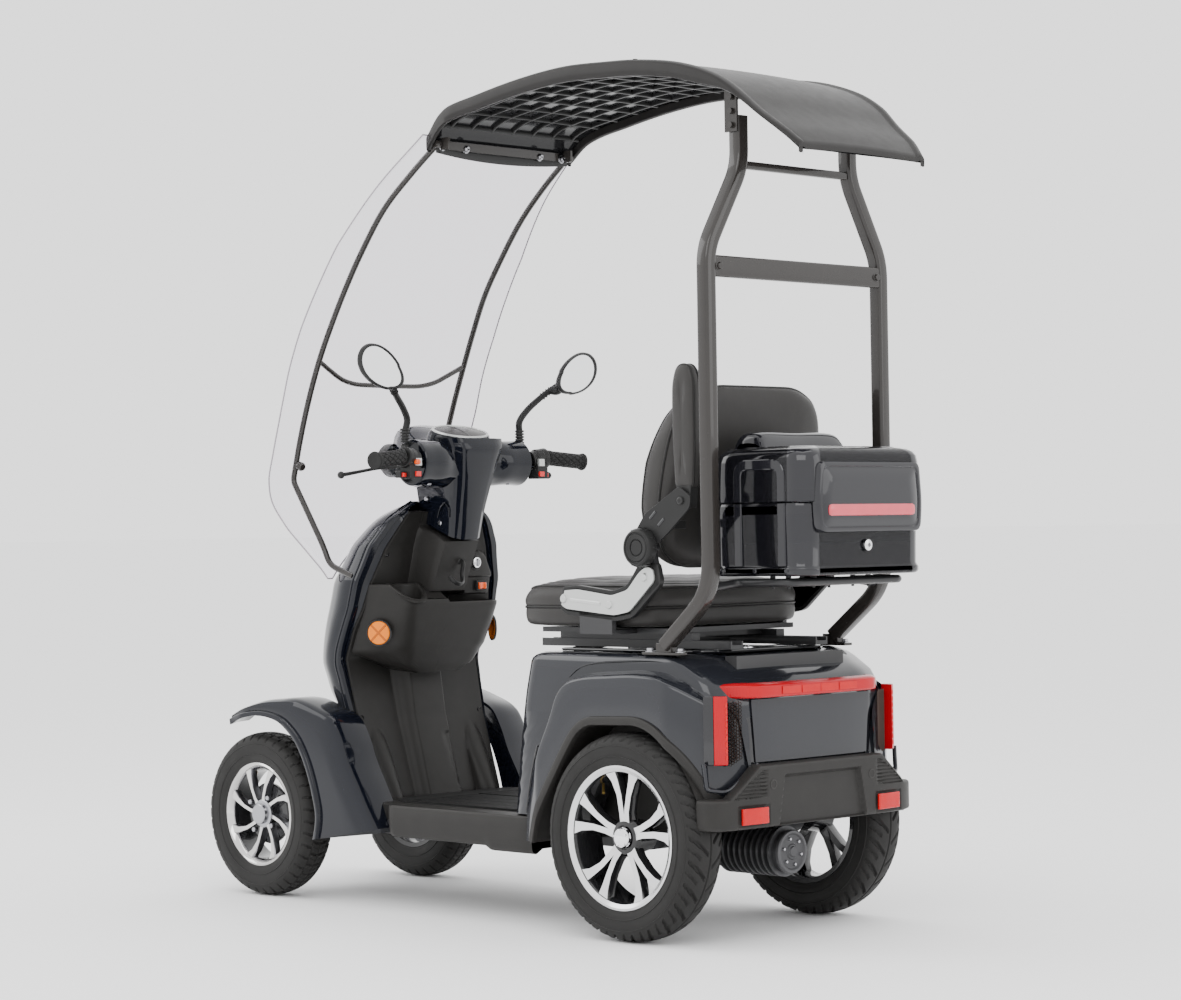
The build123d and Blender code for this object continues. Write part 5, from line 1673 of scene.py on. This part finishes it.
def roof_panel():
    line = smooth_line([(x, 0, z) for x, z in ROOF_LINE], 90)
    piece = Piece("roof_shell", ROOF)
    rows = []
    for p in line:
        half = along([(-384, 190), (-350, 208), (-260, 228), (560, 230), (636, 216)], p.x)
        edge = 22 * ease((p.x + 300) / 160) + 5
        body = []
        for t in (0, 0.16, 0.34, 0.52, 0.68, 0.8, 0.86):
            body.append((p.x, half * t, p.z - 5 * t * t))
        rim = [(p.x, half - 24, p.z - 4.2), (p.x, half - 19, p.z - 1), (p.x, half - 14, p.z + 0.6),
               (p.x, half - 5, p.z - 0.4), (p.x, half - 1, p.z - 4), (p.x, half, p.z - 9),
               (p.x, half, p.z - 4 - edge * 0.6), (p.x, half - 0.5, p.z - 4 - edge),
               (p.x, half - 3, p.z - 6 - edge), (p.x, half - 9, p.z - 6 - edge),
               (p.x, half - 12, p.z - 4 - edge), (p.x, half - 13, p.z - 15)]
        row = body + rim
        rows.append([(x, -y, z) for x, y, z in reversed(row)] + row[1:])
    piece.grid(rows)
    for row in (rows[0], rows[-1]):
        under = [(x - 2 * (row is rows[0]), y, z - 10 if abs(y) < 190 else z - 2) for x, y, z in row]
        piece.grid([row, under])
    seam = [(p[0], p[1], p[2] + 0.4) for p in rows[52]][8:-8]
    piece.sweep(seam, ellipse(1.2, 1.0, 6))
    piece.make("chassis", ["roof_panel"], sharp=50, outward=False)
    lining = Piece("roof_lining", UNDERSIDE)
    under = []
    for p in line:
        half = along([(-384, 186), (-350, 200), (-260, 216), (560, 218), (636, 206)], p.x)
        under.append([(p.x, half * t / 8, p.z - 13 + 2 * abs(t / 8) - 3 * (t / 8) ** 2)
                      for t in range(-8, 9)])
    lining.grid(under)
    lining.paint(SATIN)
    inside = [p for p in line if -195 < p.x < 606]
    for k in range(-3, 4):
        lining.sweep([(p.x, k * 60, p.z - 14.5 - 2 * (k / 3.5) ** 2) for p in inside],
                     rounded_rectangle(7, 9, 2))
    for k in range(14):
        x = 596 - k * 61
        z = along(sorted((p.x, p.z) for p in line), x)
        lining.sweep([(x, y * 20, z - 14.5 - 2 * (y * 20 / 210) ** 2) for y in range(-10, 11)],
                     rounded_rectangle(7, 9, 2))
    lining.make("chassis", sharp=50, outward=False)


GLASS = [(1650, 644), (1548, 770), (1436, 868), (1338, 936), (1255, 984), (1170, 1024), (1085, 1052),
         (985, 1088), (925, 1107), (880, 1106), (822, 1064), (766, 1016), (730, 988), (708, 978)]
GLASS_HALF = [(700, 216), (745, 238), (820, 268), (930, 286), (1085, 291), (1255, 289), (1430, 276),
              (1660, 226)]


def in_cowl(x, y, z):
    if z > 892:
        return False
    half, front, rear = along(COWL_HALF, z) + 12, along(COWL_FACE, min(z, 874)) + 12, along(WING, z)
    return abs(y) < half and x < rear + (front - rear) * math.sqrt(1 - (abs(y) / half) ** 2)


def windshield():
    line = smooth_line([(x, 0, z) for z, x in GLASS], 120)
    columns = []
    for k in range(-16, 17):
        t = k / 16
        column = []
        for p in line:
            y = t * along(GLASS_HALF, p.z)
            if in_cowl(p.x - 2, y, p.z):
                break
            column.append(Vector((p.x - 10 * t * t * ease((p.z - 720) / 200), y, p.z)))
        columns.append(spaced(column, 90))
    piece = Piece("windshield_sheet", CLEAR)
    piece.grid([list(row) for row in zip(*columns)])
    piece.make("chassis", ["windshield"], thickness=3, sharp=60)
    edge = Piece("windshield_edges", SHEET_EDGE)
    for line in (columns[0], columns[-1], [c[0] for c in columns], [c[-1] for c in columns]):
        edge.tube([p - Vector((1.5, 0, 0)) for p in line], 1.7, 8)
    edge.make("chassis")


def struts():
    path = [(620, 195, 1634), (700, 199, 1578), (785, 205, 1508), (860, 207, 1420), (914, 208, 1345),
            (960, 213, 1264), (999, 217, 1186), (1040, 218, 1090), (1068, 218, 1010), (1084, 219, 950)]
    upper = smooth_line(path, 80)
    lower = rounded_line([upper[-1], (1090, 220, 925), (990, 220, 780), (968, 220, 738), (905, 208, 712)],
                         18, 8)
    piece = Piece("windshield_struts", POST)
    piece.tube(upper + lower[1:], 6.6, 14)
    brace = smooth_line([(999, 213, 1186), (1006, 178, 1168), (1012, 140, 1150), (1016, 100, 1141),
                         (1017, 50, 1139), (1017, 0, 1139)], 40)
    piece.tube(brace, 5.6, 12)
    piece.lathe([(0.3, 0), (6, 0), (9.5, 3), (10, 14), (7, 18), (0.3, 18)], (1074, 219, 960),
                (-0.95, 0, -0.3), 24, False)
    piece.lathe([(0.3, 10), (8, 10), (9, 7), (9, -6), (0.3, -6)], (624, 195, 1632), (0, 1, 0), 20, False)
    piece.mirrored()
    piece.make("chassis", ["windshield_frame"])


VISOR_X, VISOR_Z, VISOR_HALF = 636, 1614, 195


def visor_band():
    """The band under the roof's front edge that holds the windshield, with its screws."""
    band = Piece("visor_band", SATIN)
    rows = []
    for rise, ahead, sag in ((0, 0, 10), (10, 0, 0), (24, 1, 0), (27, 2, 0)):
        row = []
        for y in range(-VISOR_HALF, VISOR_HALF + 1, 15):
            bow = (y / VISOR_HALF) ** 2
            row.append((VISOR_X + ahead - 10 * bow, y, VISOR_Z + rise - sag * (1 - bow)))
        rows.append(row)
    band.grid(rows)
    band.paint(STEEL)
    for y in (-110, 110, -178, 178):
        band.lathe([(0.3, 7), (4, 7), (7, 4.5), (7.5, 0), (10, -1)], (625, y, 1628), (-1, 0, 0), 20, False)
    band.make("chassis", thickness=2.5)


# Steering head -------------------------------------------------------------------------------

def ring_by_angle(outline, centre, sides):
    """Points of a closed (x, z) outline, one on each of the evenly spaced rays from its centre."""
    points = [Vector((x, z)) for x, z in outline]
    ring = []
    for k in range(sides):
        a = 2 * math.pi * k / sides
        way = Vector((math.cos(a), math.sin(a)))
        best = 0
        for i, p in enumerate(points):
            q = points[(i + 1) % len(points)]
            e = q - p
            d = way.x * e.y - way.y * e.x
            if abs(d) < 1e-9:
                continue
            r = Vector(p) - Vector(centre)
            t = (r.x * e.y - r.y * e.x) / d
            s = (r.x * way.y - r.y * way.x) / d
            if t > 0 and -0.001 <= s <= 1.001:
                best = max(best, t)
        ring.append(Vector(centre) + way * best)
    return ring


def nacelle():
    piece = Piece("nacelle_shell", GLOSS_FRONT)
    middle = rounded_line([(x, 0, z) for x, z in [(724, 950), (724, 984), (750, 1008), (812, 1036),
                                                  (900, 1048), (948, 1042), (964, 1004), (940, 930),
                                                  (880, 899), (764, 898), (724, 925), (724, 950)]], 22, 6)
    centre = (770, 958)
    inner = ring_by_angle([(p.x, p.z) for p in middle], centre, 72)
    rows = []
    stations = [-158, -156, -150, -135, -118, -106, -96, -86, -76, -64, -50, -34, -17]
    for y in stations + [0] + [-s for s in stations[::-1]]:
        t = ease((abs(y) - 46) / 62)
        radius = 49 + (1.6 if 148 < abs(y) < 157 else 0)
        shrink = 1 - 0.10 * (abs(y) / 60) ** 2 * (1 - t)
        row = []
        for k, p in enumerate(inner):
            a = 2 * math.pi * k / 72
            arm = Vector((764 + radius * math.cos(a), 958 + radius * math.sin(a)))
            core = Vector((770 + (p.x - 770) * max(shrink, 0.7), 958 + (p.y - 958) * max(shrink, 0.7)))
            q = core.lerp(arm, t)
            row.append((q.x, y, q.y))
        rows.append(row)
    for end, way in ((0, -1), (-1, 1)):
        lip = [(764 + (p[0] - 764) * 0.93, way * 158.5, 958 + (p[2] - 958) * 0.93) for p in rows[end]]
        deep = [(764 + (p[0] - 764) * 0.90, way * 146, 958 + (p[2] - 958) * 0.90) for p in rows[end]]
        back = [(764 + (p[0] - 764) * 0.25, way * 145, 958 + (p[2] - 958) * 0.25) for p in rows[end]]
        rows = [back, deep, lip] + rows if way < 0 else rows + [lip, deep, back]
    piece.grid(rows, closed=True)
    for y in (-118, 118):
        for x, z in ((752, 911), (788, 913)):
            piece.paint(STEEL).lathe([(0.3, 2), (4, 2), (5.5, 0), (5.5, -3)], (x, y, z), (0, 0, -1), 16,
                                     False)
    piece.make("steering", ["handlebar_cover"], sharp=38)

    cover = Piece("column_shell", GLOSS_FRONT)
    rows = []
    for k in range(25):
        t = k / 24
        low = 789 + t * 222
        rear = along([(789, 752), (860, 738), (930, 720), (990, 708), (1011, 716)], low)
        half = along([(770, 42), (840, 48), (905, 58), (930, 64), (970, 74), (1012, 84)], low)
        front = 868 if low < 890 else 868 - (low - 890) * 0.9
        flat = half * 0.60
        section = [(rear, 0), (rear - 0.5, flat * 0.8), (rear + 1.5, flat), (rear + 6, flat + 4),
                   (rear + 9, half * 0.86), (rear + 15, half * 0.96), (rear + 26, half),
                   (rear + 46, half - 0.5), (front, half - 2)]
        section = [(x, -y) for x, y in section[:0:-1]] + section
        rows.append([(x, y, low + (x - rear) * 0.38 * (1 - t) ** 0.8) for x, y in section])
    inner = [(p[0] + 2.5, p[1] * 0.95, p[2] + 0.5) for p in rows[0]]
    deep = [(p[0] + 4, p[1] * 0.93, p[2] + 30) for p in rows[0]]
    cover.grid([deep, inner] + rows)
    for s in (1, -1):
        ridge = [(766, s * 49.5, 838), (762, s * 52.5, 858), (772, s * 55.0, 872), (790, s * 53.6, 858),
                 (800, s * 51, 838)]
        cover.tube(spaced(rounded_line(ridge, 6, 4), 30), 1.6, 8)
        for x, z in ((800, 826), (835, 880)):
            cover.paint(STEEL).lathe([(0.3, 2.4), (4, 2.4), (5.6, 0.4), (5.6, -3)],
                                     (x, s * along([(790, 42), (840, 46), (900, 56)], z), z), (0, s, 0), 18,
                                     False)
            cover.paint(GLOSS_FRONT)
    cover.make("steering", ["column_cover"], sharp=30, outward=False)


def display():
    piece = Piece("display_cluster", GLOSS_FRONT)
    tilt = math.radians(21)
    forward, up = Vector((math.cos(tilt), 0, math.sin(tilt))), Vector((-math.sin(tilt), 0, math.cos(tilt)))
    centre = Vector((779, 0, 1023.4))

    def ring(scale, height):
        return [centre + forward * (38 * scale * math.cos(a))
                + Vector((0, 1, 0)) * (74 * scale * math.sin(a)) + up * height
                for a in (2 * math.pi * k / 80 for k in range(80))]

    piece.grid([ring(1.16, -16), ring(1.13, -4), ring(1.09, 1.5), ring(1.06, 3)], closed=True)
    piece.paint(SILVER_PAINT).grid([ring(1.06, 3), ring(1.04, 5.4), ring(1.0, 6.6), ring(0.97, 5.6),
                                    ring(0.955, 4)], closed=True)
    piece.paint(DISPLAY_GLASS)
    glass = [ring(s, 4 + 5 * (1 - s * s)) for s in (0.955, 0.8, 0.6, 0.4, 0.2, 0.02)]
    piece.grid(glass, closed=True).fan(glass[-1])
    piece.paint(GLOSS_BLACK)
    piece.sweep([centre + forward * d + Vector((0, 4 + d * 0.12, 0)) + up * (9.2 - 5 * (d / 38) ** 2)
                 for d in range(-35, 36, 5)], ellipse(1.3, 0.8, 8))
    piece.make("steering", ["display"], sharp=30)
    lamp = Piece("headlight_lens", SATIN)
    loop = closed_loop([(-50, 932), (50, 932), (72, 956), (74, 986), (54, 1004), (-54, 1004), (-74, 986),
                        (-72, 956)], [0, 14, 12, 12, 12, 12, 12, 12, 14, 0], 90)
    rows = []
    for x, scale in ((940, 1.06), (966, 1.05), (971, 1.01), (972, 0.95)):
        rows.append([(x, a * scale, 968 + (b - 968) * scale) for a, b in loop])
    lamp.grid(rows, closed=True)
    lens = [[(x, a * scale, 968 + (b - 968) * scale) for a, b in loop] for x,
            scale in ((968, 0.95), (973, 0.93), (977, 0.8), (979, 0.5), (980, 0.05))]
    lamp.paint(LAMP_LENS).grid(lens, closed=True).fan(lens[-1])
    lamp.make("steering", ["headlight"], sharp=50)


def pods():
    piece = Piece("switch_pod_shells", SATIN)
    a, b = Vector((737, 173, 963)), Vector((729, 213, 969))
    way = (b - a).normalized()
    profile = [(13, 42), (21, 42), (22.5, 40), (22.5, 30), (21.5, 29), (22.5, 28), (23, 14), (21, 12),
               (20, 4), (21, 0), (14, 0)]
    piece.lathe(profile, a, way, 40)
    piece.lathe([(12.6, 2), (17, 2), (18, 0), (18, -9), (12.6, -9)], (728.6, 214, 969), (-0.2, -0.97, 0.1),
                32)
    piece.box((714, 176, 922), (746, 206, 954))
    piece.box((748, 178, 938), (775, 198, 942.4))
    piece.box((748, 178, 955.6), (775, 198, 960))
    piece.box((728, 206, 924), (744, 222, 938))
    piece.lathe([(0.3, 31), (6, 31), (9, 29), (10.5, 24), (10.5, 2), (9, 0)], (768, 172, 968), (0, 0, 1),
                28, False)
    piece.box((742, 164, 966), (768, 178, 976))
    piece.mirrored()
    piece.paint(SILVER_PAINT)
    for s in (1, -1):
        piece.box((709, s * 184 - 8, 950), (716, s * 184 + 8, 966))
        piece.paint(RED_BUTTON).box((709.5, s * 185 - 7, 927), (714.5, s * 185 + 7, 938))
        piece.box((724, s * 213 - 5, 926), (728.5, s * 213 + 5, 935)).paint(SILVER_PAINT)
    piece.make("steering", ["switch_pods"], bevel=1.2)
    horn = Piece("horn_button_cap", ORANGE)
    horn.lathe([(0.3, 0), (4, 0.4), (5.6, 1.6), (6, 3), (6, 10), (0.3, 10)], (702, 190, 958), (1, 0, 0), 28,
               False)
    horn.make("horn", ["horn_button"])


def grip_sleeve(label, sign, body, node):
    piece = Piece(f"grip_sleeve_{label}", GRIP)
    inner, outer = Vector((728, sign * 216, 969)), Vector((709, sign * 309, 960))
    way = (outer - inner).normalized()
    side = way.orthogonal().normalized()
    rows = []
    for k in range(101):
        s = 3 + k * 0.94
        row = []
        for j in range(96):
            a = 2 * math.pi * j / 96
            knurl = min(abs(math.sin(4 * a + s * 0.17)), abs(math.sin(4 * a - s * 0.17)))
            r = 14.6 + 2.1 * min(1, knurl * 2.4) ** 0.7
            if k < 5 or k > 91:
                r = 17.6 if k % 99 > 1 else 16
            row.append(inner + way * s + (Matrix.Rotation(a, 3, way) @ side) * r)
        rows.append(row)
    piece.grid(rows, closed=True)
    piece.lathe([(16, 92), (19, 93), (19.6, 96), (18.5, 99), (14, 99.8), (10, 98.4), (4, 99), (0.3, 99)],
                inner, way, 40, False)
    piece.make(body, [node])


def levers():
    for label, s in (("left", 1), ("right", -1)):
        piece = Piece(f"brake_lever_blade_{label}", SATIN)
        path = smooth_line([(766, s * 188, 949), (784, s * 204, 948.5), (797, s * 228, 946),
                            (808, s * 262, 940), (816, s * 290, 935), (820, s * 310, 932)], 40)
        piece.sweep(path, ellipse(5.6, 4.2, 14), up=(0, 0, 1),
                    scale=lambda t: 1.1 - 0.25 * math.sin(math.pi * t))
        piece.ball((820, s * 310, 932), 8)
        piece.lathe([(3.3, 0), (8, 0), (9, 1.2), (9, 9.6), (8, 10.8), (3.3, 10.8)], (766, s * 188, 943.6),
                    (0, 0, 1), 28)
        piece.make(f"lever_{label}", [f"brake_lever_{label}"])


def mirrors():
    for label, s in (("left", 1), ("right", -1)):
        piece = Piece(f"mirror_arm_{label}", SATIN)
        stem = smooth_line([(768, s * 172, 1004), (767, s * 170, 1030), (764, s * 168, 1050),
                            (758, s * 184, 1074), (748, s * 212, 1100), (734, s * 238, 1122),
                            (722, s * 256, 1136)], 48)
        piece.tube(stem, 7, 16, scale=lambda t: 1.12 - 0.2 * t)
        for k in range(5):
            piece.lathe([(7, -2.4), (10, -1.8), (10.6, 0), (10, 1.8), (7, 2.4)],
                        (768, s * 172, 1004 + k * 6.4), (0, 0, 1), 28)
        for k in range(4):
            p, q = stem[34 + 2 * k], stem[36 + 2 * k]
            piece.lathe([(5, -1.1), (8.6, -0.8), (9, 0), (8.6, 0.8), (5, 1.1)], p, q - p, 24)
        centre = Vector((708, s * 292, 1157))
        u, v = Vector((0, s * 0.88, 0.475)), Vector((0, -s * 0.475, 0.88))

        def ring(x, scale):
            loop = []
            for k in range(72):
                a = 2 * math.pi * k / 72
                long, tall = 67 * math.cos(a), 41 * math.sin(a) * (1 + 0.13 * math.cos(a))
                if math.cos(a) < -0.6:
                    tall *= 0.92
                loop.append(Vector((x, centre.y, centre.z)) + u * long * scale + v * tall * scale)
            return loop

        shell = [ring(703, 0.885), ring(699.5, 0.90), ring(698.5, 0.95), ring(700.5, 1.0), ring(706, 1.02),
                 ring(713, 0.95), ring(719, 0.82), ring(724, 0.6), ring(726.5, 0.32), ring(727, 0.02)]
        piece.grid(shell, closed=True).fan(shell[-1])
        neck = [centre - u * 44 - v * 8 + Vector((15, 0, 0)), centre - u * 58 - v * 9 + Vector((14, 0, 0)),
                stem[40]]
        piece.tube(smooth_line(neck, 12), 12, 18, scale=lambda t: 1.1 - 0.35 * t)
        glass = [ring(702, 0.89), ring(702.4, 0.6), ring(702.5, 0.02)]
        piece.paint(MIRROR_GLASS).grid(glass, closed=True).fan(glass[-1])
        piece.make(f"mirror_{label}", [f"mirror_{label}"], sharp=45)


# Running gear details ------------------------------------------------------------------------

def springs():
    """Coil springs round the dampers, and the motor's end cap."""
    piece = Piece("shock_springs", STEEL)
    for x, y, low, high, radius, turns in ((1177, 120, 222, 338, 21, 8), (0, 180, 244, 392, 24, 9)):
        coil = []
        for k in range(turns * 20 + 1):
            a = 2 * math.pi * k / 20
            coil.append((x + radius * math.cos(a), y + radius * math.sin(a),
                         low + (high - low) * k / (turns * 20)))
        piece.tube(coil, 3.4, 8)
    piece.mirrored()
    piece.make("chassis")
    cap = Piece("motor_end_cap", ALLOY_DARK)
    cap.lathe([(0.3, 6), (9, 6), (11, 3.5), (14, 3.5), (16, 1.5), (33, 1.5), (36, 4.5), (41, 4.5), (43, 2),
               (43, -4), (0.3, -4)], (-215, 50, 170), (-1, 0, 0), 48, False)
    cap.paint(STEEL)
    for k in range(6):
        a = math.radians(60 * k + 15)
        cap.lathe([(0.3, 5), (2.6, 5), (3.4, 3.4), (3.4, 0)],
                  (-215, 50 + 26 * math.cos(a), 170 + 26 * math.sin(a)), (-1, 0, 0), 12, False)
    cap.make("chassis", sharp=35)


# The CAD's own meshes ------------------------------------------------------------------------

def dress(names, finish, bevel=0.8):
    """Gives CAD nodes their finish, and rounds their edges."""
    for name in names.split():
        obj = frame["nodes"][name]
        for slot in obj.material_slots:
            slot.material = finish
        if not obj.material_slots:
            obj.data.materials.append(finish)
        if bevel:
            add_bevel(obj, bevel, 2)


def dress_frame():
    dress("main_frame knuckle_left knuckle_right tie_rod handlebar seat_rails seat_carriage seat_base",
          FRAME_PAINT)
    dress("canopy_fasteners", POST)
    dress("battery_pack", BATTERY, 3.0)
    dress("motor_transaxle shock_absorbers", ALLOY_DARK)


def main():
    studio()
    dress_frame()
    wheels()
    rear_body()
    body_groove_shade()
    arch_trims()
    rear_bumper()
    reflectors()
    tail_lights()
    rear_mesh()
    rear_deck()
    leg_shield()
    console()
    key_and_switch()
    storage_pocket()
    front_cowl()
    cowl_panel()
    front_fenders()
    floor_pan()
    floor_mat()
    seat_cushion()
    backrest()
    armrest("left", 0, 1)
    armrest("right", math.radians(88), -1)
    seat_brackets()
    luggage_box()
    luggage_rack()
    luggage_lid()
    posts()
    roof_panel()
    windshield()
    struts()
    visor_band()
    nacelle()
    display()
    pods()
    grip_sleeve("left", 1, "steering", "left_grip")
    grip_sleeve("right", -1, "throttle", "throttle_grip")
    levers()
    mirrors()
    springs()


main()
